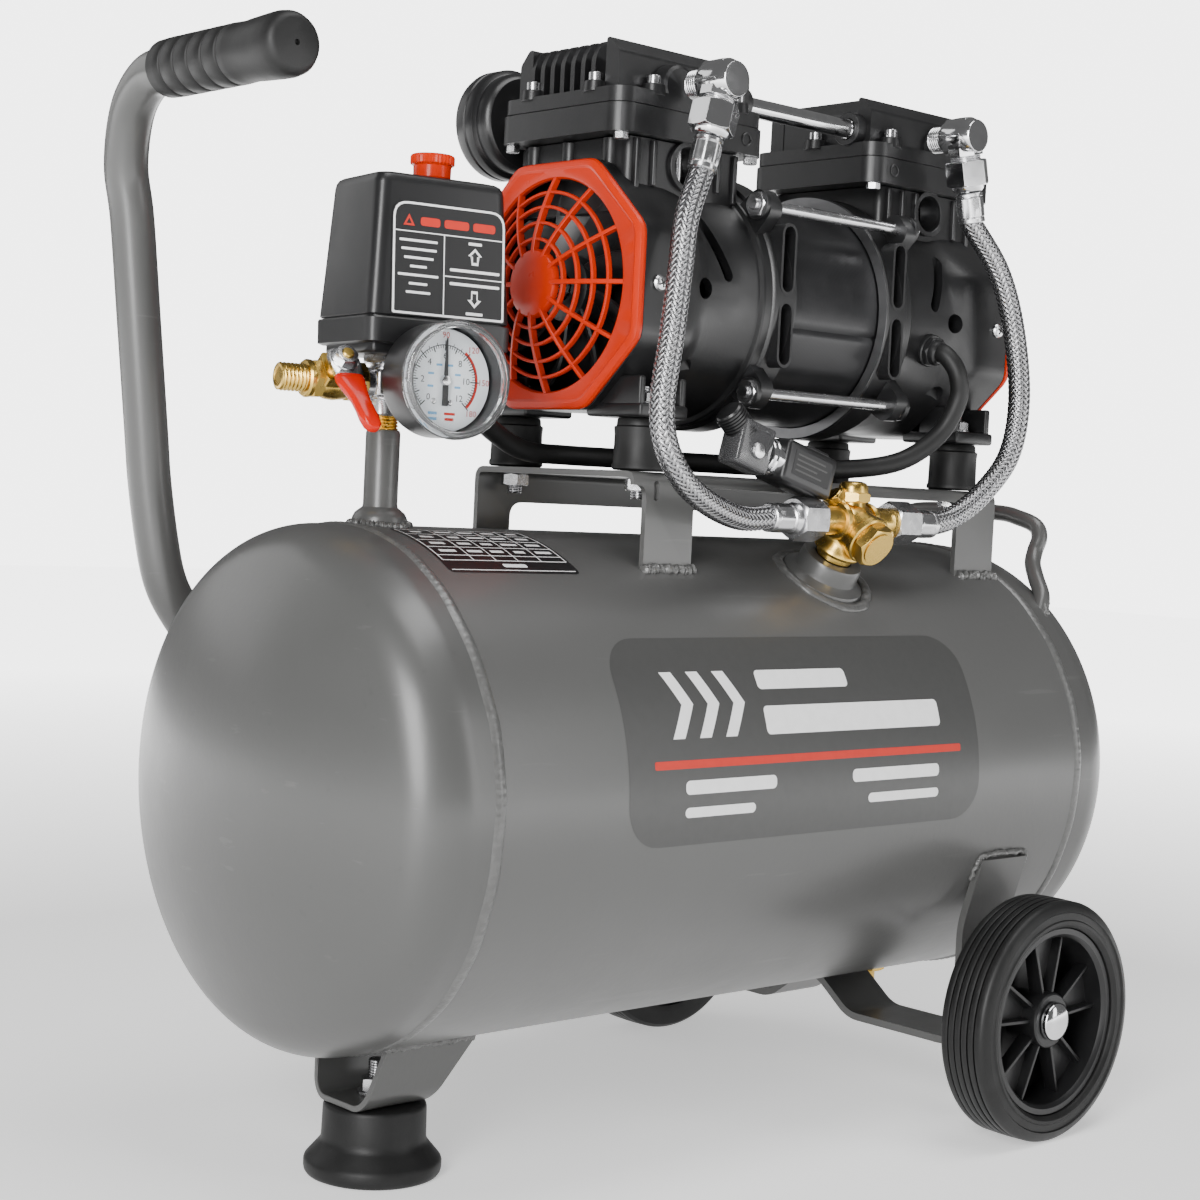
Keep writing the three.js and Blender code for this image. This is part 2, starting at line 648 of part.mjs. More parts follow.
function wobblePiston() {
  const pistonTop = headBaseZ - clearance - crankThrow - 0.7;
  const ringInner = 22;
  return join(
    bar([frontCylinderX, 0, pistonTop - 6], [frontCylinderX, 0, pistonTop], 29, 20),
    block(frontCylinderX - 4, frontCylinderX + 4, -6, 6, motorZ + ringInner + 1, pistonTop - 3),
    ring(ringInner, ringInner + 4.5, frontCylinderX - 4, frontCylinderX + 4, pumpAxis, xAxis, 16),
  );
}

function bothHalves(frontName, rearName, shape, material) {
  const front = geometryOf(shape);
  add(compressor, frontName, front, material);
  add(compressor, rearName, mirroredX(front, pumpX), material);
}

const glandX = 341;
const glandAngle = THREE.MathUtils.degToRad(14);
const glandDirection = [0, -Math.cos(glandAngle), -Math.sin(glandAngle)];
function alongGland(distance) {
  return [glandX, glandDirection[1] * distance, motorZ + glandDirection[2] * distance];
}

const crankcaseFront = geometryOf(crankcase());
add(compressor, 'crankcase_front', crankcaseFront, blackPaint);
add(compressor, 'crankcase_rear', join(
  solid(mirroredX(crankcaseFront, pumpX)),
  bar(alongGland(bellRadius - 4), alongGland(bellRadius + 5), 8.5, 12),
), blackPaint);
bothHalves('cylinder_head_front', 'cylinder_head_rear', cylinderHead(), blackPaint);
bothHalves('fan_guard_front', 'fan_guard_rear', octagonGuard(), redPlastic);
bothHalves('fan_front', 'fan_rear', fan(), blackPlastic);
bothHalves('piston_rod_front', 'piston_rod_rear', wobblePiston(), zincSteel);

add(compressor, 'stator', ring(37, 59.4, bellBackX + clearance, 2 * pumpX - bellBackX - clearance,
  pumpAxis, xAxis, 28), laminations);

const eccentricRadius = 9;
add(compressor, 'rotor_shaft', join(
  bar([125, 0, motorZ], [2 * pumpX - 125, 0, motorZ], 6, 12),
  bar([pumpX - 38, 0, motorZ], [pumpX + 38, 0, motorZ], 36, 20),
  bar([frontCylinderX - 7, 0, motorZ + crankThrow], [frontCylinderX + 7, 0, motorZ + crankThrow],
    eccentricRadius, 12),
  bar([2 * pumpX - frontCylinderX - 7, 0, motorZ - crankThrow],
    [2 * pumpX - frontCylinderX + 7, 0, motorZ - crankThrow], eccentricRadius, 12),
), zincSteel);

function tieRod({ y, z }) {
  const nut = 6.2;
  const nutX = earX - clearance;
  return join(
    bar([nutX - 5, y, z], [2 * pumpX - nutX + 5, y, z], 3, 6),
    bar([nutX - 4, y, z], [nutX, y, z], nut, 6),
    bar([2 * pumpX - nutX, y, z], [2 * pumpX - nutX + 4, y, z], nut, 6),
  );
}

for (const place of tieRodPlaces) {
  add(compressor, `tie_rod_${place.name}`, tieRod(place), zincSteel);
}

const crossoverZ = headBaseZ + 29;
add(compressor, 'crossover_pipe', bar([216 + clearance, -25, crossoverZ],
  [2 * pumpX - 216 - clearance, -25, crossoverZ], 5.3, 16), chromeSteel);

const filterX = 144;
const filterZ = 512;
add(compressor, 'intake_filter', turned([
  [0, 46 + clearance], [11, 46 + clearance], [11, 52], [23.5, 52], [25.5, 56], [25.5, 61],
  [28, 63], [28, 74], [25, 77], [0, 77],
], [filterX, 0, filterZ], yAxis, 20), blackPlastic);

// ---------------------------------------------------------------- hoses and their fittings
const elbowY = -73;
const elbowZ = headBaseZ + 26;
const elbowLean = THREE.MathUtils.degToRad(14);
const legLength = 29;

// A point on the elbow's leg, which leans by the given angle from straight down.
function alongLeg(elbowX, lean, distance) {
  return [elbowX + Math.sin(lean) * distance, elbowY, elbowZ - Math.cos(lean) * distance];
}

function hoseElbow(elbowX, lean) {
  const leg = (distance) => alongLeg(elbowX, lean, distance);
  const flangeTop = block(elbowX - 20, elbowX + 20, -46 - clearance, -30,
    headBaseZ, headBaseZ + 22 + clearance);
  return cut(join(
    bar([elbowX, -36 - clearance, elbowZ], [elbowX, -58, elbowZ], 8.5, 14),
    bar([elbowX, -57, elbowZ], [elbowX, elbowY - 10, elbowZ], 10, 8),
    bar(leg(0), leg(12), 9, 12),
    bar(leg(11), leg(legLength), 11, 6),
  ), flangeTop);
}

function dischargeHose(elbowX, lean, side, route) {
  const leg = (distance) => alongLeg(elbowX, lean, distance);
  const hoseStart = legLength + clearance;
  const portY = checkDirection[1] * hosePortRise;
  const portZ = tankZ + checkDirection[2] * hosePortRise;
  const along = (distance) => [checkX + side * distance, portY, portZ];
  return join(
    swept([leg(hoseStart), leg(44), ...route, along(62), along(47)], hoseRadius, 8, 15),
    bar(leg(hoseStart), leg(45), 7, 8),
    bar(along(62), along(46), 7, 8),
    bar(along(47), along(27 + clearance), 9.8, 6),
  );
}

const frontElbowX = 160;
const rearElbowX = 343;
const frontRoute = [
  [136, -78, 455], [130.5, -81, 430], [123.5, -85, 400], [115.5, -89, 368], [117, -91.5, 348],
  [129, -92, 332], [150, -88.5, 322], [178, -82, 316],
];
const rearRoute = [
  [376, -76, 455], [388, -79, 425], [391, -83, 387], [382, -85, 356], [362, -83, 334], [342, -80, 321],
];
add(compressor, 'hose_elbow_front', hoseElbow(frontElbowX, -elbowLean), chromeSteel);
add(compressor, 'hose_elbow_rear', hoseElbow(rearElbowX, elbowLean), chromeSteel);
add(compressor, 'discharge_hose_front',
  dischargeHose(frontElbowX, -elbowLean, -1, frontRoute), chromeSteel);
add(compressor, 'discharge_hose_rear',
  dischargeHose(rearElbowX, elbowLean, 1, rearRoute), chromeSteel);

// ---------------------------------------------------------------- check valve, in its tilted group
add(checkGroup, 'check_valve_boss', cut(
  turned([[0, 105], [23.5, 105], [23.5, 119], [16.5, 124], [16.5, 133], [0, 133]], origin, zAxis, 18),
  tankCutter(checkGroup),
  bar([0, 0, 100], [0, 0, 150], 5, 10),
), greyPaint);

// The valve's top port stands upright while its body follows the tilted boss.
function alongTopPort(distance) {
  const angle = THREE.MathUtils.degToRad(checkTilt);
  return [0, Math.sin(angle) * distance, hosePortRise + Math.cos(angle) * distance];
}

add(checkGroup, 'check_valve_body', cut(
  join(
    bar([0, 0, 133 + clearance], [0, 0, 164], 9.5, 10),
    bar([-27, 0, hosePortRise], [27, 0, hosePortRise], 7.5, 8),
    bar([0, 0, hosePortRise - 2], [0, -15, hosePortRise - 2], 9.8, 10),
    bar([0, -14, hosePortRise - 2], [0, -22, hosePortRise - 2], 8.8, 6),
    bar(alongTopPort(2), alongTopPort(9), 6, 8),
    bar(alongTopPort(8), alongTopPort(13), 7.6, 6),
    bar(alongTopPort(12), alongTopPort(17), 5.8, 8),
    bar([-4, 4, 158], [-12, 10, 165], 4.5, 8),
  ),
  bar([0, 0, 130], [0, 0, 152], 4, 10),
), brassMetal);

add(compressor, 'unloader_valve', join(
  block(206, 244.5, -84, -63, 328, 350),
  block(172, 208, -81, -66, 327, 351),
  bar([190, -73.5, 350], [190, -73.5, 354], 5, 8),
), blackPlastic);

// ---------------------------------------------------------------- pressure switch, in its turned group
const riserTopZ = 349;

add(switchGroup, 'riser_pipe', cut(
  turned([
    [0, 290], [13, 290], [13, 306], [8, 313], [8, riserTopZ], [0, riserTopZ],
  ], [riserX, 0, 0], zAxis, 14),
  tankCutter(switchGroup),
  bar([riserX, 0, 280], [riserX, 0, riserTopZ + 5], riserBore, 12),
), greyPaint);

const switchBaseZ = 387;
add(switchGroup, 'manifold', cut(
  join(
    bar([riserX, 0, riserTopZ + clearance], [riserX, 0, 357], 7, 14),
    block(riserX - 8.5, 5.5, -9, 9, 356, 380),
    bar([riserX, 0, 379], [riserX, 0, switchBaseZ - clearance], 10.5, 6),
    bar([riserX, 0, manifoldZ], [-20, 0, manifoldZ], 7.5, 12),
  ),
  bar([riserX, 0, 340], [riserX, 0, 378], 4, 10),
  bar([riserX, 0, manifoldZ], [-30, 0, manifoldZ], 3.5, 10),
), zincSteel);

const switchLeft = -29.7;
const switchRight = 43.6;
const switchFront = -25;
const switchBack = 32;
const coverZ = 399.8;
const coverTopZ = 464.8;
const knobX = 13;

// A tapered box: the outline shrinks by the given inset between the two heights.
function taperedBox(x0, x1, y0, y1, z0, z1, inset) {
  const geometry = new THREE.BoxGeometry(x1 - x0, y1 - y0, z1 - z0);
  geometry.translate((x0 + x1) / 2, (y0 + y1) / 2, (z0 + z1) / 2);
  const position = geometry.attributes.position;
  for (let i = 0; i < position.count; i += 1) {
    if (position.getZ(i) < (z0 + z1) / 2) continue;
    position.setX(i, position.getX(i) + Math.sign((x0 + x1) / 2 - position.getX(i)) * inset);
    position.setY(i, position.getY(i) + Math.sign((y0 + y1) / 2 - position.getY(i)) * inset);
  }
  return solid(geometry);
}

add(switchGroup, 'switch_base', cut(
  join(
    block(switchLeft, switchRight, switchFront, switchBack, switchBaseZ, coverZ - clearance),
    block(-15, 34, -14, 20, 398, 432),
  ),
  bar([knobX, 3, 420], [knobX, 3, 440], 6, 10),
), blackPlastic);
add(switchGroup, 'switch_cover', cut(
  taperedBox(switchLeft, switchRight, switchFront, switchBack, coverZ, coverTopZ, 3.8),
  taperedBox(switchLeft + 2.5, switchRight - 2.5, switchFront + 2.5, switchBack - 2.5, coverZ - 2,
    coverTopZ - 2.5, 3.8),
  bar([knobX, 3, coverTopZ - 5], [knobX, 3, coverTopZ + 5], 5.5, 12),
), blackPlastic);
add(switchGroup, 'on_off_knob', turned([
  [0, 428], [4.5, 428], [4.5, coverTopZ + 1.5], [9, coverTopZ + 1.5], [9, coverTopZ + 9],
  [10.5, coverTopZ + 10], [10.5, coverTopZ + 13], [0, coverTopZ + 13],
], [knobX, 3, 0], zAxis, 12), redPlastic);

// ---------------------------------------------------------------- gauge
const gaugeOrigin = [-0.6, 0, gaugeZ];
const gaugeDirection = [0, -1, 0];
add(switchGroup, 'gauge_case', turned([
  [0, 9 + clearance], [5, 9 + clearance], [5, 29.8], [25.6, 29.8],
  [25.8, 52.8], [23.8, 52.8], [23.8, 32.8], [0, 32.8],
], gaugeOrigin, gaugeDirection, 20), blackPlastic);
add(switchGroup, 'gauge_dial', join(
  bar([-0.6, -41.3, gaugeZ], [-0.6, -42.8, gaugeZ], 23.2, 20),
  bar([-0.6, -32.8 - clearance, gaugeZ], [-0.6, -41.8, gaugeZ], 6, 8),
), whiteEnamel);
add(switchGroup, 'gauge_needle', join(
  bar([-0.6, -43.5, gaugeZ], [-0.6, -45.9, gaugeZ], 2.6, 12),
  block(-1.3, 0.1, -45.1, -44.1, gaugeZ - 11.5, gaugeZ + 19),
), blackPlastic);
add(switchGroup, 'gauge_lens', turned([
  [25.6, 53.2], [gaugeRadius, 53.2], [gaugeRadius, 55], [24.5, -gaugeFaceY + 1.2],
  [22, -gaugeFaceY], [0, -gaugeFaceY],
  [0, -gaugeFaceY - 1.6], [21.5, -gaugeFaceY - 1.6], [23.5, 53.2], [25.6, 53.2],
], gaugeOrigin, gaugeDirection, 20), clearPlastic);

// ---------------------------------------------------------------- outlet ball valve
const valveX = -35;
const stemTilt = THREE.MathUtils.degToRad(38);
const stemDirection = [0, -Math.cos(stemTilt), Math.sin(stemTilt)];
const leverDirection = [0, -Math.sin(stemTilt), -Math.cos(stemTilt)];
function alongStem(distance, alongLever = 0, acrossX = 0) {
  return [
    valveX + acrossX,
    stemDirection[1] * distance + leverDirection[1] * alongLever,
    manifoldZ + stemDirection[2] * distance + leverDirection[2] * alongLever,
  ];
}

add(switchGroup, 'outlet_valve_body', cut(
  join(
    bar([-20 - clearance, 0, manifoldZ], [-47, 0, manifoldZ], 10.2, 6),
    bar([-46, 0, manifoldZ], [-49, 0, manifoldZ], 8.6, 10),
    bar([-48, 0, manifoldZ], [-62, 0, manifoldZ], 6.4, 10),
    bar(alongStem(4), alongStem(12), 7, 8),
  ),
  solid(new THREE.SphereGeometry(7.2, 8, 5).translate(valveX, 0, manifoldZ)),
  bar([-10, 0, manifoldZ], [-70, 0, manifoldZ], 3.5, 8),
  bar(alongStem(0), alongStem(14), 3.4, 8),
), brassMetal);

function outletLever() {
  const arm = new THREE.BoxGeometry(9, 3, 34);
  arm.translate(0, -14.2, -14);
  arm.rotateX(-stemTilt);
  arm.translate(valveX, 0, manifoldZ);
  const ball = cut(
    solid(new THREE.SphereGeometry(6.4, 8, 5).translate(valveX, 0, manifoldZ)),
    bar(alongStem(0, -10), alongStem(0, 10), 3.2, 8));
  return join(
    ball,
    bar(alongStem(5), alongStem(19.5), 2.9, 8),
    solid(arm),
    bar(alongStem(15), alongStem(18.5), 5, 6),
  );
}

add(switchGroup, 'outlet_lever', outletLever(), redPlastic);

// ---------------------------------------------------------------- safety valve
add(compressor, 'safety_valve', cut(
  join(
    bar(alongSafety(118), alongSafety(133), 8.5, 6),
    bar(alongSafety(132), alongSafety(152), 6.5, 12),
    bar(alongSafety(151), alongSafety(159), 2, 8),
    bar(alongSafety(158), alongSafety(160), 5, 8),
  ),
  tankEnvelope,
), brassMetal);

// ---------------------------------------------------------------- motor cable
add(compressor, 'motor_cable', swept([
  alongGland(bellRadius + 5 + clearance), alongGland(bellRadius + 12), [344, -77, 398], [347, -76, 384],
  [340, -70, 365], [322, -60, 350], [295, -46, 344], [260, -30, 343], [220, -12, 343], [180, 2, 343],
  [145, 10, 343], [118, 10, 344], [98, 8, 351], [80, 2, 360], [70, -4, 371], [68, -6, 379],
  [68, -6, switchBaseZ - 0.8],
], 5, 6, 24), blackRubber);

export default compressor;
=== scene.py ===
"""Looks of a portable horizontal air compressor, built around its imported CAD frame.

Pieces are drawn in millimetres with +Z up, -Y towards the side with the gauge, and the receiver's
front weld seam at x = FRONT_SEAM. The matrix SCENE takes them to the frame in metres.
"""

import math
import random

import bmesh
import bpy
from mathutils import Matrix, Vector, noise
from mathutils.geometry import tessellate_polygon


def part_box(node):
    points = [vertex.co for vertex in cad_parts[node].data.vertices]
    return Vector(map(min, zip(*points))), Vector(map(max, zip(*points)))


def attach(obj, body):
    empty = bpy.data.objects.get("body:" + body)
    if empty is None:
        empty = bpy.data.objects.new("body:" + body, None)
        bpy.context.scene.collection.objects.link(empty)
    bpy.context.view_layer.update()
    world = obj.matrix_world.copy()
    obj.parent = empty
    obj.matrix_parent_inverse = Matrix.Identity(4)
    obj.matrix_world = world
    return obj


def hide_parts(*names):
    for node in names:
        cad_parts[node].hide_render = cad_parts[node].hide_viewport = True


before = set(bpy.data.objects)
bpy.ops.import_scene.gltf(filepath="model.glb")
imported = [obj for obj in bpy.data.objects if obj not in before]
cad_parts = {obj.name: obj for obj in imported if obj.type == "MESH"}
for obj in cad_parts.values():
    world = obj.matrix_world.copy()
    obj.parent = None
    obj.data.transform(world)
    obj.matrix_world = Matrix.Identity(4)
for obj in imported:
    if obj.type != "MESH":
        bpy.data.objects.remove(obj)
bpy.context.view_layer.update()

MM = 0.001
FRONT_SEAM = 3.0
SEAM_GAP = 0.3
JOIN_DISTANCE, SLIVER = 2e-6, 1e-7
SHARP_ANGLE, BEVEL_ANGLE = 30, 32
ON_AXIS = 1e-4
SCENE = Matrix.Translation((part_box("tank_shell")[0].x - (FRONT_SEAM + SEAM_GAP) * MM, 0,
                            0)) @ Matrix.Scale(MM, 4)


def local_box(node):
    """A CAD node's lowest and highest corners in the millimetres used here."""
    inverse = SCENE.inverted()
    low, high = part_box(node)
    return inverse @ low, inverse @ high


# ------------------------------------------------------------------ shapes
class Shape:
    """Vertices in millimetres and faces, with a pair of surface coordinates for each vertex."""

    def __init__(self, verts=(), faces=(), uvs=None):
        self.verts = [Vector(v) for v in verts]
        self.faces = [tuple(f) for f in faces]
        self.uvs = list(uvs) if uvs else [(0.0, 0.0)] * len(self.verts)

    def __add__(self, other):
        shift = len(self.verts)
        faces = self.faces + [tuple(i + shift for i in f) for f in other.faces]
        return Shape(self.verts + other.verts, faces, self.uvs + other.uvs)

    def at(self, matrix):
        faces = self.faces
        if matrix.determinant() < 0:
            faces = [tuple(reversed(f)) for f in faces]
        return Shape([matrix @ v for v in self.verts], faces, self.uvs)

    def bent(self, rule):
        return Shape([rule(v) for v in self.verts], self.faces, self.uvs)


def joined(shapes):
    total = Shape()
    for shape in shapes:
        total = total + shape
    return total


def move(x=0.0, y=0.0, z=0.0):
    return Matrix.Translation((x, y, z))


def turn(axis, degrees):
    return Matrix.Rotation(math.radians(degrees), 4, axis)


def aim(origin, direction, side=(1, 0, 0)):
    """Local z points along direction, and local x lies as near to side as it can."""
    z_axis = Vector(direction).normalized()
    y_axis = z_axis.cross(Vector(side))
    if y_axis.length < 1e-4:
        y_axis = z_axis.cross(Vector((0, 1, 0)))
    y_axis.normalize()
    x_axis = y_axis.cross(z_axis)
    basis = Matrix((x_axis, y_axis, z_axis)).transposed().to_4x4()
    return Matrix.Translation(Vector(origin)) @ basis


def polar(radius, degrees):
    angle = math.radians(degrees)
    return radius * math.cos(angle), radius * math.sin(angle)


def grid(rows, wrap=True, close=False):
    """Faces between rows of points. wrap joins a row's ends, close joins the last row to the first."""
    verts = [v for row in rows for v in row]
    width = len(rows[0])
    uvs = [(j / max(width - 1, 1), i / max(len(rows) - 1, 1)) for i in range(len(rows)) for j in range(width)]
    faces = []
    for i in range(len(rows) if close else len(rows) - 1):
        below = i * width
        above = ((i + 1) % len(rows)) * width
        for j in range(width if wrap else width - 1):
            k = (j + 1) % width
            faces.append((below + j, below + k, above + k, above + j))
    return Shape(verts, faces, uvs)


def capped(rows):
    """A tube of rows with a face on each end."""
    shape = grid(rows)
    width = len(rows[0])
    shape.faces.append(tuple(reversed(range(width))))
    shape.faces.append(tuple(range(len(shape.verts) - width, len(shape.verts))))
    return shape


def lathe(profile, steps=64):
    """Turns [radius, height] points about local z. A radius of 0 closes an end."""
    closed = tuple(profile[0]) == tuple(profile[-1])
    points = profile[:-1] if closed else profile
    rows = [[(*polar(max(r, ON_AXIS), 360 * j / steps), z) for j in range(steps)] for r, z in points]
    return grid(rows, close=closed)


def rod(start, end, radius, end_radius=None, steps=24, edge=0.4):
    """A round bar with eased ends."""
    start, end = Vector(start), Vector(end)
    length = (end - start).length
    last = radius if end_radius is None else end_radius
    edge = min(edge, length / 3, radius / 2, last / 2)
    profile = [(0, 0), (radius - edge, 0), (radius, edge), (last, length - edge), (last - edge, length),
               (0, length)]
    return lathe(profile, steps).at(aim(start, end - start))


def tube(start, end, outer, inner, steps=40, edge=0.3):
    start, end = Vector(start), Vector(end)
    length = (end - start).length
    profile = [
        (inner, edge), (inner + edge, 0), (outer - edge, 0), (outer, edge), (outer, length - edge),
        (outer - edge, length), (inner + edge, length), (inner, length - edge), (inner, edge),
    ]
    return lathe(profile, steps).at(aim(start, end - start))


def circle(radius, steps=32, x=0.0, y=0.0, start=0.0):
    points = [polar(radius, start + 360 * i / steps) for i in range(steps)]
    return [(x + a, y + b) for a, b in points]


def rounded(corners, radius, steps=5):
    """An outline with its corners rounded. radius is one number or one for each corner."""
    count = len(corners)
    radii = radius if isinstance(radius, (list, tuple)) else [radius] * count
    outline = []
    for i, corner in enumerate(corners):
        here = Vector(corner)
        before = Vector(corners[i - 1]) - here
        after = Vector(corners[(i + 1) % count]) - here
        reach = min(radii[i], before.length * 0.49, after.length * 0.49)
        if reach < 1e-3:
            outline.append(tuple(here))
            continue
        a = here + before.normalized() * reach
        b = here + after.normalized() * reach
        for k in range(steps + 1):
            t = k / steps
            point = a * (1 - t) ** 2 + here * 2 * t * (1 - t) + b * t ** 2
            outline.append(tuple(point))
    return outline


def rectangle(x0, x1, y0, y1, radius=0.0, steps=5):
    return rounded([(x0, y0), (x1, y0), (x1, y1), (x0, y1)], radius, steps)


def stadium(x0, y0, x1, y1, radius, steps=8):
    """The outline of a slot with round ends."""
    angle = math.degrees(math.atan2(y1 - y0, x1 - x0))
    ends = [((x1, y1), angle - 90), ((x0, y0), angle + 90)]
    outline = []
    for (x, y), first in ends:
        for k in range(steps + 1):
            a, b = polar(radius, first + 180 * k / steps)
            outline.append((x + a, y + b))
    return outline


def plate(outline, z0, z1, holes=()):
    """A flat outline with holes, pushed along local z."""
    loops = [list(outline)] + [list(hole) for hole in holes]
    flat = [[Vector((x, y, 0)) for x, y in loop] for loop in loops]
    triangles = tessellate_polygon(flat)
    points = [p for loop in loops for p in loop]
    count = len(points)
    verts = [(x, y, z0) for x, y in points] + [(x, y, z1) for x, y in points]
    faces = [tuple(reversed(t)) for t in triangles] + [tuple(i + count for i in t) for t in triangles]
    start = 0
    for loop in loops:
        size = len(loop)
        for i in range(size):
            j = (i + 1) % size
            faces.append((start + i, start + j, count + start + j, count + start + i))
        start += size
    return Shape(verts, faces)


def brick(x0, x1, y0, y1, z0, z1, edge=0.8, steps=3):
    """A block with every edge rounded."""
    block = bmesh.new()
    bmesh.ops.create_cube(block, size=1.0)
    for vert in block.verts:
        vert.co = Vector((
            x0 + (vert.co.x + 0.5) * (x1 - x0), y0 + (vert.co.y + 0.5) * (y1 - y0),
            z0 + (vert.co.z + 0.5) * (z1 - z0)))
    edge = min(edge, (x1 - x0) / 2.2, (y1 - y0) / 2.2, (z1 - z0) / 2.2)
    bmesh.ops.bevel(block, geom=block.edges[:], offset=edge, segments=steps, profile=0.5, affect="EDGES")
    block.verts.index_update()
    shape = Shape([v.co.copy() for v in block.verts], [[v.index for v in f.verts] for f in block.faces])
    block.free()
    return shape


def curve(points, steps=8):
    """A smooth Catmull-Rom line through the points."""
    points = [Vector(p) for p in points]
    ends = [points[0] * 2 - points[1]] + points + [points[-1] * 2 - points[-2]]
    line = []
    for i in range(1, len(ends) - 2):
        a, b, c, d = ends[i - 1:i + 3]
        for k in range(steps):
            t = k / steps
            line.append((b * 2 + (c - a) * t + (a * 2 - b * 5 + c * 4 - d) * t ** 2
                         + (b * 3 - a - c * 3 + d) * t ** 3) / 2)
    line.append(points[-1])
    return line


def frames_along(line, first_side=(0, 0, 1)):
    """For each point of a line, its position, a side and a second side that don't twist."""
    side = Vector(first_side)
    result = []
    for i, point in enumerate(line):
        ahead = (line[min(i + 1, len(line) - 1)] - line[max(i - 1, 0)]).normalized()
        side = side - ahead * side.dot(ahead)
        if side.length < 1e-5:
            side = ahead.orthogonal()
        side.normalize()
        result.append((point, side.copy(), ahead.cross(side)))
    return result


def sweep(line, section, first_side=(0, 0, 1)):
    """Carries a section of (side, second side) points, or a radius, along a line."""
    outline = circle(section, steps=24) if isinstance(section, (int, float)) else section
    rows = [[p + s * a + t * b for a, b in outline] for p, s, t in frames_along(line, first_side)]
    return capped(rows)


def thread(radius, z0, z1, pitch=1.4, depth=0.75, steps=36):
    """A threaded rod or collar along local z."""
    per_turn = 8
    count = max(int((z1 - z0) / pitch * per_turn), 3)
    rows = [[(0, 0, z0)] * steps]
    for i in range(count + 1):
        z = z0 + (z1 - z0) * i / count
        row = []
        for j in range(steps):
            phase = (z / pitch - j / steps) % 1.0
            groove = depth * (1 - abs(2 * phase - 1)) ** 1.2
            row.append((*polar(radius - groove, 360 * j / steps), z))
        rows.append(row)
    rows.append([(0, 0, z1)] * steps)
    return grid(rows)


def hexagon(across, z0, z1, bore=0.0, sides=6, per_side=8):
    """A nut or bolt head along local z, with its corners turned down at both ends."""
    steps = sides * per_side
    half = across / 2
    turned = half * 1.02

    def corner_radius(j):
        angle = (360 * j / steps) % (360 / sides) - 180 / sides
        return half / math.cos(math.radians(angle))

    def row(radius_of, z_of):
        return [(*polar(radius_of(corner_radius(j)), 360 * j / steps), z_of(corner_radius(j)))
                for j in range(steps)]

    slope, ease, inner = 0.55, 0.15, max(bore, 0.01)
    rows = [
        row(lambda r: inner, lambda r: z0),
        row(lambda r: min(r, turned) - ease, lambda r: z0),
        row(lambda r: r, lambda r: z0 + ease + max(r - turned, 0) * slope),
        row(lambda r: r, lambda r: z1 - ease - max(r - turned, 0) * slope),
        row(lambda r: min(r, turned) - ease, lambda r: z1),
        row(lambda r: inner, lambda r: z1),
    ]
    return grid(rows, close=bore > 0)


# ------------------------------------------------------------------ pieces
MATERIALS = {}
# The frame's slot for each finish that isn't named after a slot.
SLOTS = {
    "weld": "grey_paint", "label_black": "black_plastic", "ink_black": "black_plastic",
    "ink_red": "red_plastic",
    "ink_white": "white_enamel", "ink_blue": "white_enamel", "clear_ring": "clear_plastic",
    "smoky_plastic": "clear_plastic", "steel_braid_gap": "steel_braid", "bare_casting": "zinc_steel",
}


def link(thing):
    bpy.context.scene.collection.objects.link(thing)
    return thing


def clean(mesh, slivers=True):
    """Joins doubled vertices, drops slivers and turns the faces outwards."""
    work = bmesh.new()
    work.from_mesh(mesh)
    bmesh.ops.remove_doubles(work, verts=work.verts, dist=JOIN_DISTANCE)
    if slivers:
        bmesh.ops.dissolve_degenerate(work, edges=work.edges, dist=SLIVER)
    bmesh.ops.recalc_face_normals(work, faces=work.faces)
    work.to_mesh(mesh)
    work.free()


def smooth_shading(mesh, degrees):
    mesh.shade_smooth()
    mesh.set_sharp_from_angle(angle=math.radians(degrees))


def make(name, shape, finish, slot=None, body="compressor", replaces=(), bevel=0.0, smooth=SHARP_ANGLE):
    """One visible piece: its mesh in the frame's metres, its finish, and the body that it rides on."""
    slot = slot or SLOTS.get(finish)
    mesh = bpy.data.meshes.new(name)
    mesh.from_pydata([SCENE @ v for v in shape.verts], [], shape.faces)
    layer = mesh.uv_layers.new(name="surface")
    for loop in mesh.loops:
        layer.data[loop.index].uv = shape.uvs[loop.vertex_index]
    clean(mesh)
    smooth_shading(mesh, smooth)
    piece = link(bpy.data.objects.new(name, mesh))
    mesh.materials.append(MATERIALS[finish])
    if bevel:
        rounding = piece.modifiers.new("rounding", "BEVEL")
        rounding.width = bevel * MM
        rounding.segments = 2
        rounding.limit_method = "ANGLE"
        rounding.angle_limit = math.radians(BEVEL_ANGLE)
        rounding.harden_normals = True
    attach(piece, body)
    if replaces:
        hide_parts(*replaces)
    return piece


def cut_from(piece, cutters):
    """Cuts closed shapes out of a piece's mesh."""
    for i, cutter in enumerate(cutters):
        mesh = bpy.data.meshes.new(f"cutter_{i}")
        mesh.from_pydata([SCENE @ v for v in cutter.verts], [], cutter.faces)
        clean(mesh, slivers=False)
        tool = link(bpy.data.objects.new(f"cutter_{i}", mesh))
        cut = piece.modifiers.new("cut", "BOOLEAN")
        cut.operation = "DIFFERENCE"
        cut.solver = "EXACT"
        cut.object = tool
        bpy.context.view_layer.update()
        graph = bpy.context.evaluated_depsgraph_get()
        result = bpy.data.meshes.new_from_object(piece.evaluated_get(graph))
        piece.modifiers.remove(cut)
        old = piece.data
        piece.data = result
        bpy.data.meshes.remove(old)
        bpy.data.objects.remove(tool)
    smooth_shading(piece.data, SHARP_ANGLE)


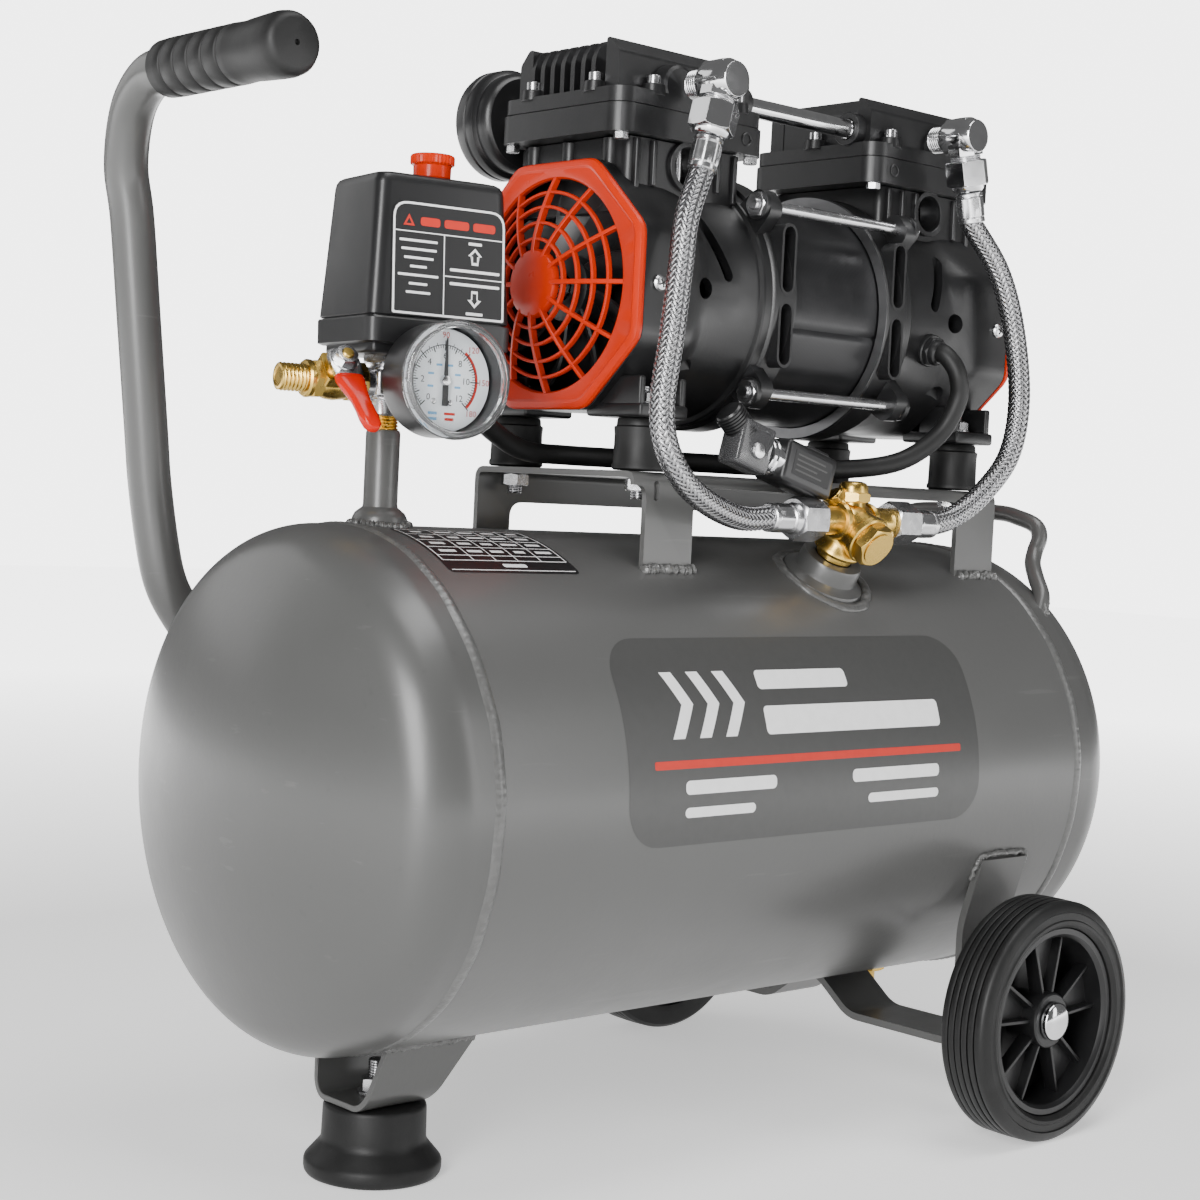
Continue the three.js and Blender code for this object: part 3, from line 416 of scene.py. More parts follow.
# ------------------------------------------------------------------ camera, floor and lights
def add_camera():
    """The view: its place in millimetres, and its yaw, pitch and roll in radians."""
    place = SCENE @ Vector((-586.9, -819.4, 322.1))
    yaw, pitch, roll = 0.8288, -0.0461, 0.0486
    ahead = Vector((math.cos(pitch) * math.cos(yaw), math.cos(pitch) * math.sin(yaw), math.sin(pitch)))
    level = Vector((math.sin(yaw), -math.cos(yaw), 0))
    upright = level.cross(ahead)
    right = level * math.cos(roll) + upright * math.sin(roll)
    up = upright * math.cos(roll) - level * math.sin(roll)
    data = bpy.data.cameras.new("camera")
    data.sensor_width = 36
    data.lens = 65.91
    camera = bpy.data.objects.new("camera", data)
    camera.matrix_world = Matrix.Translation(place) @ Matrix((right, up, -ahead)).transposed().to_4x4()
    bpy.context.scene.camera = link(camera)


def add_softbox(name, place, target, size, power):
    data = bpy.data.lights.new(name, "AREA")
    data.shape = "RECTANGLE"
    data.size, data.size_y = size
    data.energy = power
    lamp = bpy.data.objects.new(name, data)
    direction = Vector(target) - Vector(place)
    lamp.matrix_world = Matrix.Translation(place) @ direction.to_track_quat("-Z", "Y").to_matrix().to_4x4()
    link(lamp)


def add_lights():
    """Four softboxes, and a white world that looks brighter than it lights."""
    middle = (0.0, 0.0, 0.27)
    add_softbox("softbox_left", (-1.85, -1.0, 0.9), middle, (0.7, 1.4), 54)
    add_softbox("softbox_top", (0.1, -0.5, 2.0), middle, (1.5, 0.7), 20)
    add_softbox("softbox_right", (1.0, -1.9, 0.8), middle, (0.6, 1.4), 10)
    add_softbox("softbox_back", (-0.9, 1.8, 1.2), middle, (1.4, 1.2), 7)
    world = bpy.data.worlds.new("studio")
    world.use_nodes = True
    tree = world.node_tree
    ambient = tree.nodes["Background"]
    ambient.inputs["Color"].default_value = (1.0, 1.0, 1.0, 1.0)
    ambient.inputs["Strength"].default_value = 0.16
    backdrop = tree.nodes.new("ShaderNodeBackground")
    backdrop.inputs["Color"].default_value = (1.0, 1.0, 1.0, 1.0)
    backdrop.inputs["Strength"].default_value = 4.5
    choice = tree.nodes.new("ShaderNodeMixShader")
    seen = tree.nodes.new("ShaderNodeLightPath")
    tree.links.new(seen.outputs["Is Camera Ray"], choice.inputs["Fac"])
    tree.links.new(ambient.outputs[0], choice.inputs[1])
    tree.links.new(backdrop.outputs[0], choice.inputs[2])
    tree.links.new(choice.outputs[0], tree.nodes["World Output"].inputs["Surface"])
    bpy.context.scene.world = world


def add_floor():
    half = 6.0
    mesh = bpy.data.meshes.new("floor")
    corners = [(-half, -half, 0), (half, -half, 0), (half, half, 0), (-half, half, 0)]
    mesh.from_pydata(corners, [], [(0, 1, 2, 3)])
    floor = link(bpy.data.objects.new("floor", mesh))
    mesh.materials.append(MATERIALS["studio_floor"])


# ------------------------------------------------------------------ finishes
class Finish:
    """A node material built up from noise, wear and relief. Lengths are in metres."""

    def __init__(self, name, color, roughness, metallic=0.0):
        self.material = bpy.data.materials.new(name)
        self.material.use_nodes = True
        self.tree = self.material.node_tree
        self.shader = self.tree.nodes["Principled BSDF"]
        self.shader.inputs["Metallic"].default_value = metallic
        self.place = self.new("ShaderNodeTexCoord").outputs["Object"]
        self.color = self.rgb(color)
        self.roughness = self.number(roughness)
        self.relief = None
        MATERIALS[name] = self.material

    def new(self, kind, **values):
        node = self.tree.nodes.new(kind)
        for key, value in values.items():
            setattr(node, key, value)
        return node

    def link(self, source, target):
        if isinstance(source, bpy.types.NodeSocket):
            self.tree.links.new(source, target)
        else:
            target.default_value = source

    def rgb(self, color):
        node = self.new("ShaderNodeRGB")
        node.outputs[0].default_value = (*color, 1.0)
        return node.outputs[0]

    def number(self, value):
        node = self.new("ShaderNodeValue")
        node.outputs[0].default_value = value
        return node.outputs[0]

    def math(self, operation, a, b=0.0, clamp=False):
        node = self.new("ShaderNodeMath", operation=operation, use_clamp=clamp)
        self.link(a, node.inputs[0])
        self.link(b, node.inputs[1])
        return node.outputs[0]

    def noise(self, size, detail=3.0, stretch=(1.0, 1.0, 1.0), seed=0.0):
        """Noise whose blotches are about size metres across."""
        spread = self.new("ShaderNodeMapping")
        self.link(self.place, spread.inputs["Vector"])
        spread.inputs["Scale"].default_value = stretch
        spread.inputs["Location"].default_value = (seed, seed * 0.7, seed * 1.3)
        node = self.new("ShaderNodeTexNoise")
        self.link(spread.outputs[0], node.inputs["Vector"])
        node.inputs["Scale"].default_value = 1.0 / size
        node.inputs["Detail"].default_value = detail
        return node.outputs["Fac"]

    def ramp(self, source, low, high):
        """0 below low, 1 above high, and a straight climb between."""
        node = self.new("ShaderNodeMapRange")
        node.clamp = True
        self.link(source, node.inputs["Value"])
        node.inputs["From Min"].default_value = low
        node.inputs["From Max"].default_value = high
        return node.outputs["Result"]

    def tint(self, mask, color, amount=1.0):
        node = self.new("ShaderNodeMix", data_type="RGBA")
        self.link(self.math("MULTIPLY", mask, amount), node.inputs["Factor"])
        self.link(self.color, node.inputs["A"])
        self.link(color if isinstance(color, bpy.types.NodeSocket) else (*color, 1.0), node.inputs["B"])
        self.color = node.outputs["Result"]

    def vary_roughness(self, source, spread):
        centred = self.math("SUBTRACT", source, 0.5)
        self.roughness = self.math("ADD", self.roughness, self.math("MULTIPLY", centred, spread), clamp=True)

    def bump(self, height, distance, strength=1.0):
        node = self.new("ShaderNodeBump")
        node.inputs["Distance"].default_value = distance
        node.inputs["Strength"].default_value = strength
        self.link(height, node.inputs["Height"])
        if self.relief is not None:
            self.link(self.relief, node.inputs["Normal"])
        self.relief = node.outputs["Normal"]

    def edges(self, low=0.53, high=0.62):
        """A mask of outer edges, for wear."""
        geometry = self.new("ShaderNodeNewGeometry")
        return self.ramp(geometry.outputs["Pointiness"], low, high)

    def set(self, **sockets):
        for name, value in sockets.items():
            self.shader.inputs[name.replace("_", " ")].default_value = value

    def finish(self):
        self.link(self.color, self.shader.inputs["Base Color"])
        self.link(self.roughness, self.shader.inputs["Roughness"])
        if self.relief is not None:
            self.link(self.relief, self.shader.inputs["Normal"])


def grey_enamel():
    """Satin grey enamel over steel: faint orange peel, dust specks, and light scuffs."""
    look = Finish("grey_paint", (0.063, 0.063, 0.0615), 0.35)
    look.tint(look.ramp(look.noise(0.14, detail=4.0), 0.35, 0.7), (0.069, 0.069, 0.0675), amount=0.55)
    look.tint(look.ramp(look.noise(0.006, detail=5.0, seed=3.0), 0.66, 0.74), (0.052, 0.052, 0.051),
              amount=0.35)
    scuff = look.ramp(look.noise(0.02, detail=6.0, stretch=(0.25, 1.0, 4.0), seed=9.0), 0.67, 0.72)
    look.tint(scuff, (0.115, 0.115, 0.112), amount=0.3)
    look.tint(look.edges(0.56, 0.66), (0.17, 0.17, 0.167), amount=0.3)
    look.vary_roughness(look.noise(0.03, detail=4.0, seed=5.0), 0.14)
    look.bump(look.noise(0.0035, detail=2.0), distance=0.00008, strength=0.6)
    look.bump(look.noise(0.0007, detail=2.0, seed=2.0), distance=0.00002, strength=0.6)
    look.set(Coat_Weight=0.25, Coat_Roughness=0.22, Specular_IOR_Level=0.5)
    look.finish()


def weld_metal():
    """Painted weld: its base colour and its blotches are lighter than the receiver's paint, a painted
    highlight on the beads.
    """
    look = Finish("weld", (0.078, 0.078, 0.076), 0.32)
    look.tint(look.ramp(look.noise(0.004, detail=4.0), 0.45, 0.62), (0.11, 0.11, 0.108), amount=0.5)
    look.tint(look.ramp(look.noise(0.006, detail=4.0, seed=4.0), 0.6, 0.72), (0.07, 0.07, 0.07), amount=0.4)
    look.bump(look.noise(0.0026, detail=4.0), distance=0.0006, strength=0.8)
    look.set(Coat_Weight=0.3, Coat_Roughness=0.2)
    look.finish()


def black_enamel():
    """Black painted die castings of the pump: fine cast grain and slightly worn edges."""
    look = Finish("black_paint", (0.006, 0.006, 0.0064), 0.37)
    look.tint(look.ramp(look.noise(0.05, detail=4.0), 0.4, 0.7), (0.009, 0.009, 0.0095), amount=0.7)
    look.tint(look.ramp(look.noise(0.004, detail=6.0, seed=7.0), 0.68, 0.76), (0.03, 0.03, 0.031), amount=0.3)
    look.tint(look.edges(0.55, 0.64), (0.045, 0.045, 0.047), amount=0.4)
    look.vary_roughness(look.noise(0.012, detail=4.0, seed=1.0), 0.2)
    look.bump(look.noise(0.0011, detail=3.0), distance=0.00005, strength=0.7)
    look.bump(look.noise(0.006, detail=3.0, seed=6.0), distance=0.0001, strength=0.5)
    look.finish()


def black_plastic():
    """Moulded black plastic: satin, with a very fine spark-eroded grain."""
    look = Finish("black_plastic", (0.007, 0.007, 0.0075), 0.34)
    look.tint(look.ramp(look.noise(0.03, detail=3.0), 0.35, 0.75), (0.011, 0.011, 0.0115), amount=0.6)
    look.tint(look.edges(0.55, 0.66), (0.035, 0.035, 0.036), amount=0.3)
    look.vary_roughness(look.noise(0.015, detail=4.0, seed=2.0), 0.12)
    look.bump(look.noise(0.0005, detail=3.0), distance=0.00002, strength=0.7)
    look.set(Specular_IOR_Level=0.5)
    look.finish()


def soft_rubber(name, color, roughness):
    look = Finish(name, color, roughness)
    dusty = tuple(c * 2.6 for c in color)
    look.tint(look.ramp(look.noise(0.02, detail=5.0), 0.45, 0.75), dusty, amount=0.5)
    look.tint(look.ramp(look.noise(0.0016, detail=5.0, seed=8.0), 0.68, 0.78), tuple(c * 6 for c in color),
              amount=0.35)
    look.vary_roughness(look.noise(0.01, detail=4.0, seed=3.0), 0.2)
    look.bump(look.noise(0.0009, detail=4.0), distance=0.00006, strength=0.7)
    look.bump(look.noise(0.008, detail=2.0, seed=4.0), distance=0.0001, strength=0.4)
    look.set(Specular_IOR_Level=0.35)
    look.finish()


def gloss_red(name, color, roughness, ripple):
    look = Finish(name, color, roughness)
    look.tint(look.ramp(look.noise(0.04, detail=3.0), 0.3, 0.75), tuple(c * 0.8 for c in color), amount=0.5)
    look.tint(look.edges(0.54, 0.64), tuple(min(c * 1.2 + 0.01, 1) for c in color), amount=0.3)
    look.vary_roughness(look.noise(0.012, detail=4.0, seed=2.0), 0.12)
    look.bump(look.noise(ripple, detail=2.0), distance=ripple * 0.03, strength=0.5)
    look.bump(look.noise(0.0006, detail=2.0, seed=5.0), distance=0.000012, strength=0.5)
    look.set(Coat_Weight=0.03, Coat_Roughness=0.12, Specular_IOR_Level=0.2)
    look.finish()


def plated(name, color, roughness, stain, scratch=0.25):
    """Plated or bare metal: fine brushing, blotches in the plating and small stains."""
    look = Finish(name, color, roughness, 1.0)
    look.tint(look.ramp(look.noise(0.008, detail=5.0), 0.5, 0.8), stain, amount=0.35)
    look.tint(look.ramp(look.noise(0.0012, detail=4.0, seed=4.0), 0.68, 0.76), tuple(c * 0.5 for c in stain),
              amount=0.25)
    look.vary_roughness(look.noise(0.006, detail=5.0, seed=6.0), scratch)
    look.bump(look.noise(0.0009, detail=4.0, stretch=(1.0, 1.0, 5.0)), distance=0.000008, strength=0.5)
    look.bump(look.noise(0.006, detail=2.0, seed=2.0), distance=0.00001, strength=0.25)
    look.finish()


def braided_steel():
    """Flat bundles of fine stainless wire: stripes run along each bundle. The darker stripes between the
    wires and the nearly black edges of each bundle are painted shade in the grooves and where the bundles
    pass under one another.
    """
    look = Finish("steel_braid", (0.4, 0.4, 0.41), 0.25, 1.0)
    uv = look.new("ShaderNodeUVMap", uv_map="surface").outputs[0]
    parts = look.new("ShaderNodeSeparateXYZ")
    look.link(uv, parts.inputs[0])
    wires_across = 4
    wires = look.math("SINE", look.math("MULTIPLY", parts.outputs[0], 2 * math.pi * wires_across))
    # Painted shade: darker colour in the grooves between the wires.
    look.tint(look.math("SUBTRACT", 1.0, look.ramp(wires, -1.0, -0.4)), (0.3, 0.3, 0.31), amount=0.5)
    # Painted shade: each bundle's edges are darkened nearly to black where it passes under the crossing
    # bundles.
    rim = look.math("ABSOLUTE", look.math("SUBTRACT", parts.outputs[0], 0.5))
    look.tint(look.ramp(rim, 0.26, 0.46), (0.03, 0.03, 0.032), amount=0.95)
    look.tint(look.ramp(look.noise(0.01, detail=4.0), 0.5, 0.8), (0.45, 0.44, 0.43), amount=0.4)
    look.vary_roughness(look.noise(0.002, detail=4.0), 0.1)
    look.bump(wires, distance=0.00004, strength=0.5)
    look.finish()


def laminations():
    """Lacquered stator sheets, seen edge on."""
    look = Finish("laminations", (0.012, 0.012, 0.013), 0.33, 0.3)
    sheets = look.new("ShaderNodeTexWave", wave_type="BANDS", bands_direction="X")
    look.link(look.place, sheets.inputs["Vector"])
    sheets.inputs["Scale"].default_value = 300.0
    sheets.inputs["Distortion"].default_value = 0.6
    look.tint(look.ramp(sheets.outputs["Fac"], 0.2, 0.9), (0.008, 0.008, 0.009), amount=0.5)
    look.tint(look.ramp(look.noise(0.015, detail=4.0, stretch=(0.2, 1.0, 1.0)), 0.45, 0.75),
              (0.022, 0.022, 0.023), amount=0.4)
    look.vary_roughness(look.noise(0.01, detail=4.0), 0.2)
    look.bump(sheets.outputs["Fac"], distance=0.00004, strength=0.5)
    look.finish()


def printed(name, color, roughness=0.45):
    """A screen-printed ink or a painted dial: slightly uneven, with a faint grain."""
    look = Finish(name, color, roughness)
    look.tint(look.ramp(look.noise(0.006, detail=4.0), 0.4, 0.8), tuple(c * 0.88 for c in color), amount=0.6)
    look.vary_roughness(look.noise(0.003, detail=3.0), 0.15)
    look.bump(look.noise(0.0008, detail=3.0), distance=0.00001, strength=0.5)
    look.finish()


def clear_plastic(name, tint, roughness, transmission, alpha=1.0):
    look = Finish(name, tint, roughness)
    look.vary_roughness(look.noise(0.004, detail=4.0), 0.05)
    look.bump(look.noise(0.01, detail=2.0), distance=0.00003, strength=0.4)
    look.set(Transmission_Weight=transmission, IOR=1.46, Alpha=alpha)
    look.finish()


def studio_floor():
    look = Finish("studio_floor", (0.9, 0.9, 0.895), 0.55)
    look.tint(look.noise(0.6, detail=2.0), (0.87, 0.87, 0.865), amount=0.3)
    look.bump(look.noise(0.004, detail=2.0), distance=0.00005, strength=0.3)
    # Painted light: the floor glows a little near the middle and much more strongly beyond 2.6 m.
    reach = look.new("ShaderNodeVectorMath", operation="LENGTH")
    look.link(look.place, reach.inputs[0])
    glow = look.math("ADD", 0.6, look.math("MULTIPLY", look.ramp(reach.outputs["Value"], 0.6, 2.6), 3.4))
    look.link(glow, look.shader.inputs["Emission Strength"])
    look.set(Emission_Color=(1.0, 1.0, 1.0, 1.0))
    look.finish()


ORANGE_RED = (0.5, 0.02, 0.0)
grey_enamel()
weld_metal()
black_enamel()
black_plastic()
soft_rubber("rubber", (0.006, 0.006, 0.006), 0.5)
soft_rubber("tyre", (0.007, 0.007, 0.007), 0.46)
gloss_red("red_plastic", ORANGE_RED, 0.3, 0.012)
gloss_red("red_button", ORANGE_RED, 0.22, 0.006)
gloss_red("red_vinyl", (0.52, 0.008, 0.001), 0.16, 0.005)
plated("zinc_steel", (0.62, 0.62, 0.63), 0.24, (0.42, 0.42, 0.43))
plated("chrome", (0.74, 0.74, 0.75), 0.12, (0.5, 0.5, 0.51), 0.12)
plated("brass", (0.66, 0.44, 0.11), 0.28, (0.52, 0.33, 0.08))
plated("bare_casting", (0.22, 0.22, 0.225), 0.42, (0.14, 0.14, 0.145))
braided_steel()
laminations()
soft_rubber("steel_braid_gap", (0.02, 0.02, 0.02), 0.5)
printed("white_enamel", (0.8, 0.84, 0.87))
printed("ink_white", (0.8, 0.8, 0.8))
printed("ink_black", (0.02, 0.02, 0.021))
printed("ink_red", (0.5, 0.012, 0.002))
printed("ink_blue", (0.16, 0.4, 0.65))
printed("decal_grey", (0.048, 0.048, 0.047), 0.36)
printed("label_black", (0.007, 0.007, 0.0075), 0.36)
clear_plastic("clear_plastic", (0.02, 0.02, 0.021), 0.03, 0.0, 0.06)
clear_plastic("clear_ring", (0.9, 0.91, 0.92), 0.05, 0.95)
clear_plastic("smoky_plastic", (0.16, 0.16, 0.165), 0.12, 0.7)
studio_floor()

add_camera()
add_lights()
add_floor()

# ------------------------------------------------------------------ receiver
shell_low, shell_high = local_box("tank_shell")
RADIUS = (shell_high.y - shell_low.y) / 2
AXIS_Z = (shell_low.z + shell_high.z) / 2
REAR_SEAM = shell_high.x + SEAM_GAP
SKIRT, KNUCKLE, CROWN = 11.5, 31.0, 235.0
WALL = 2.5
BOTTOM = 270


def on_receiver(x, degrees, lift=0.0):
    """A point of the receiver's surface: 90 degrees is the top, 180 the near side."""
    a, b = polar(RADIUS + lift, degrees)
    return Vector((x, a, AXIS_Z + b))


def head_profile():
    """A dished head from its crown to its skirt, as [radius, distance from the seam]."""
    centre = SKIRT - math.sqrt((CROWN - KNUCKLE) ** 2 - (RADIUS - KNUCKLE) ** 2)
    joint = math.atan2(RADIUS - KNUCKLE, SKIRT - centre)
    steps = 18
    points = [(CROWN * math.sin(joint * i / steps), centre + CROWN * math.cos(joint * i / steps))
              for i in range(steps + 1)]
    for i in range(1, steps + 1):
        angle = joint + (math.pi / 2 - joint) * i / steps
        points.append((RADIUS - KNUCKLE + KNUCKLE * math.sin(angle), SKIRT + KNUCKLE * math.cos(angle)))
    return points + [(RADIUS, 2.6), (RADIUS - 0.5, 2.2), (RADIUS - 0.5, 0.2), (RADIUS - WALL, 0.2)]


def weld_seam(x):
    """A raised, rippled bead right round the receiver."""
    ripples, per_ripple, lanes, half_width = 190, 4, 8, 3.4
    steps = ripples * per_ripple
    rows = []
    for k in range(lanes + 1):
        across = -1 + 2 * k / lanes
        row = []
        for j in range(steps):
            wave = 0.5 + 0.5 * math.cos(2 * math.pi * (j / per_ripple - 0.35 * (1 - across ** 2)))
            wander = 0.35 * math.sin(7 * 2 * math.pi * j / steps)
            wander += 0.2 * math.sin(23 * 2 * math.pi * j / steps)
            height = (1 - across ** 2) * (1.15 + 0.22 * wave) - 0.25
            row.append(on_receiver(x + across * half_width + wander, 360 * j / steps, lift=height))
        rows.append(row)
    return grid(rows)


def bead(points, radius, seed, wander):
    """A lumpy run of weld along a line."""
    dice = random.Random(seed)
    line = curve(points, steps=10)
    rows = []
    for i, (p, s, t) in enumerate(frames_along(line)):
        ends = min(i, len(line) - 1 - i)
        size = radius * (0.75 + 0.35 * dice.random()) * (0.55 if ends == 0 else 1.0)
        drift = s * dice.uniform(-wander, wander) + t * dice.uniform(-wander, wander)
        rows.append([p + drift + s * a * size + t * b * size * 0.9 for a, b in circle(1.0, steps=10)])
    return capped(rows)


def weld_run(name, points, radius, seed, wander=0.5):
    make(name, bead(points, radius, seed, wander), "weld", smooth=60)


def receiver_patch(x0, x1, low, high, lift, radius=0.0, thickness=0.12):
    """A thin sheet with rounded corners that lies on the receiver, between two angles."""
    width = x1 - x0
    height = math.radians(high - low) * RADIUS
    reach = min(radius, width / 2, height / 2)
    rows = []
    row_gap, column_gap, round_steps = 2.0, 12.0, 8
    count = max(int(height / row_gap), 3)
    across = max(int(width / column_gap), 3)
    corner_steps = round_steps if reach > 0.5 else 0
    levels = [reach * (1 - math.cos(math.pi / 2 * i / max(corner_steps, 1))) for i in range(corner_steps)]
    levels += [reach + (height - 2 * reach) * i / count for i in range(count + 1)]
    levels += [height - level for level in reversed(levels[:corner_steps])]
    for level in levels:
        gap = min(level, height - level)
        inset = reach - math.sqrt(max(reach ** 2 - (reach - gap) ** 2, 0)) if gap < reach else 0.0
        angle = low + math.degrees(level / RADIUS)
        rows.append([on_receiver(x0 + inset + (width - 2 * inset) * j / across, angle, lift=lift)
                     for j in range(across + 1)])
    return grid(rows, wrap=False)


SHELL_END = REAR_SEAM - FRONT_SEAM - 0.2
shell_wall = [(RADIUS - WALL, 0.2), (RADIUS, 0.2), (RADIUS, SHELL_END), (RADIUS - WALL, SHELL_END)]
make("receiver_shell", lathe(shell_wall, 256).at(aim((FRONT_SEAM, 0, AXIS_Z), (1, 0, 0))), "grey_paint",
     replaces=["tank_shell"])
for end, seam, direction in (("front", FRONT_SEAM, -1), ("rear", REAR_SEAM, 1)):
    make(f"receiver_head_{end}", lathe(head_profile(), 256).at(aim((seam, 0, AXIS_Z), (direction, 0, 0))),
         "grey_paint", replaces=[f"tank_head_{end}"])
    make(f"weld_seam_{end}", weld_seam(seam), "weld", slot="grey_paint", smooth=60)


# ------------------------------------------------------------------ decals, with generic graphics
DECAL_LIFT = 0.16
PLATE_LIFT = 0.18


def receiver_decal():
    low, high = 141.5, 188.0
    make("side_decal", receiver_patch(77, 325, low, high, lift=DECAL_LIFT / 2, radius=20), "decal_grey",
         slot="grey_paint")
    make("side_decal_stripe", receiver_patch(93, 310, 169.6, 171.4, lift=DECAL_LIFT, radius=1), "ink_red")
    marks = Shape()
    first, pitch, width, lean, steps = 106, 17, 7.5, 9, 12
    for i in range(3):
        start = first + i * pitch
        edge = [on_receiver(start + lean - lean * abs(2 * k / steps - 1), 150 + 15 * k / steps,
                            lift=DECAL_LIFT)
                for k in range(steps + 1)]
        marks = marks + grid([[p, p + Vector((width, 0, 0))] for p in edge], wrap=False)
    for x0, x1, a0, a1 in ((168, 296, 158.5, 165.0), (168, 232, 150.0, 154.6), (112, 172, 174.0, 177.0),
                           (112, 158, 179.8, 182.0), (226, 292, 174.0, 177.0), (238, 292, 179.8, 182.0)):
        marks = marks + receiver_patch(x0, x1, a0, a1, lift=DECAL_LIFT, radius=2.5)
    make("side_decal_marks", marks, "ink_white")


def data_plate():
    low, high, x0, x1 = 98.0, 122.0, 16.0, 93.0
    table_end = 117.2
    make("data_plate", receiver_patch(x0, x1, low, high, lift=0.1, radius=3), "label_black")
    lines = Shape()
    for x in (x0 + 2, x0 + 20, x0 + 33, x0 + 46, x0 + 60, x1 - 2):
        lines = lines + receiver_patch(x - 0.3, x + 0.3, low + 1, table_end, lift=PLATE_LIFT)
    for a in (low + 1, 103.0, 107.0, 111.0, 115.0, table_end, high - 1):
        lines = lines + receiver_patch(x0 + 2, x1 - 2, a - 0.14, a + 0.14, lift=PLATE_LIFT)
    for column, x in enumerate((x0 + 11, x0 + 26.5, x0 + 39.5, x0 + 53, x0 + 67.5)):
        for row, a in enumerate((100.4, 104.4, 108.4, 112.4)):
            half = 3.2 + (column * 3 + row * 5) % 4 * 0.5
            lines = lines + receiver_patch(x - half, x + half, a, a + 1.1, lift=PLATE_LIFT)
    lines = lines + receiver_patch(x0 + 34, x0 + 48, 118.5, 119.8, lift=PLATE_LIFT, radius=1)
    make("data_plate_print", lines, "ink_white")


receiver_decal()
data_plate()


# ------------------------------------------------------------------ sheet metal
def bent_line(corners, radius, steps=6):
    """An open line of 2-D points with its corners rounded."""
    line = [Vector(corners[0])]
    for before, here, after in zip(corners, corners[1:], corners[2:]):
        here = Vector(here)
        a, b = Vector(before) - here, Vector(after) - here
        reach = min(radius, a.length * 0.49, b.length * 0.49)
        a, b = here + a.normalized() * reach, here + b.normalized() * reach
        line += [a * (1 - k / steps) ** 2 + here * 2 * (k / steps) * (1 - k / steps) + b * (k / steps) ** 2
                 for k in range(steps + 1)]
    return line + [Vector(corners[-1])]


def folded(line, thickness, span):
    """A folded sheet: a (y, z) line, its thickness, and its two x edges as functions of the point."""
    rows = []
    count = len(line)
    for i, point in enumerate(line):
        ahead = (line[min(i + 1, count - 1)] - line[max(i - 1, 0)]).normalized()
        normal = Vector((-ahead.y, ahead.x)) * thickness / 2
        x0, x1 = span(point)
        outside, inside = point + normal, point - normal
        rows.append([(x0, *outside), (x1, *outside), (x1, *inside), (x0, *inside)])
    return capped(rows)


def foot_pieces():
    foot_low, foot_high = local_box("rubber_foot")
    foot_x = (foot_low.x + foot_high.x) / 2
    foot_top = foot_high.z
    sheet = 3.0
    plate_z = foot_top + SEAM_GAP + sheet / 2

    def span(point):
        """The bracket's front and rear edge, which spread towards the receiver."""
        rise = max(point.y - foot_top, 0)
        return foot_x - 22 + rise * 0.2, foot_x + 17 + rise * 0.6

    half = [(14.5, plate_z), (20.0, foot_top + 7), (28.0, 69.0)]
    corners = [(-y, z) for y, z in reversed(half)] + half
    make("foot_bracket_sheet", folded(bent_line(corners, radius=5.0), thickness=sheet, span=span),
         "grey_paint",
         replaces=["foot_bracket"], bevel=0.5)
    for i, side in enumerate((-1, 1)):
        weld = [on_receiver(foot_x + x, BOTTOM + side * 13.4, lift=0.4) for x in (-17, -5, 10, 24, 36)]
        weld_run(f"foot_bracket_weld_{i + 1}", weld, radius=2.0, seed=5 + i)

    rubber = [
        (0, 6.5), (12.5, 6.5), (13.5, 0.4), (14.0, 0), (30.2, 0), (31.4, 0.5), (32.2, 1.6), (32.6, 3.2),
        (32.6, 6.2), (32.2, 7.4), (31.4, 8.4), (26.4, 14.2), (25.4, 15.5), (24.9, 17.0), (24.8, 18.6),
        (24.5, 31.6), (24.1, 33.0), (23.2, foot_top), (0, foot_top),
    ]
    make("rubber_foot_body", lathe(rubber, 96).at(move(foot_x)), "rubber", replaces=["rubber_foot"],
         smooth=40)
    nut_z = plate_z + sheet / 2 + 1.6
    stud = thread(4.0, foot_top, 53.6, pitch=1.25, depth=0.6)
    fastening = stud + tube((0, 0, nut_z - 1.5), (0, 0, nut_z), 9.0, 4.2)
    fastening = fastening + hexagon(13.0, nut_z, nut_z + 6.4, bore=3.9)
    fastening = fastening + rod((0, 0, 3.2), (0, 0, 6.4), 10.5) + hexagon(13.0, 1.4, 3.4)
    make("foot_bolt_and_nut", fastening.at(move(foot_x)), "zinc_steel", replaces=["foot_bolt"])


foot_pieces()


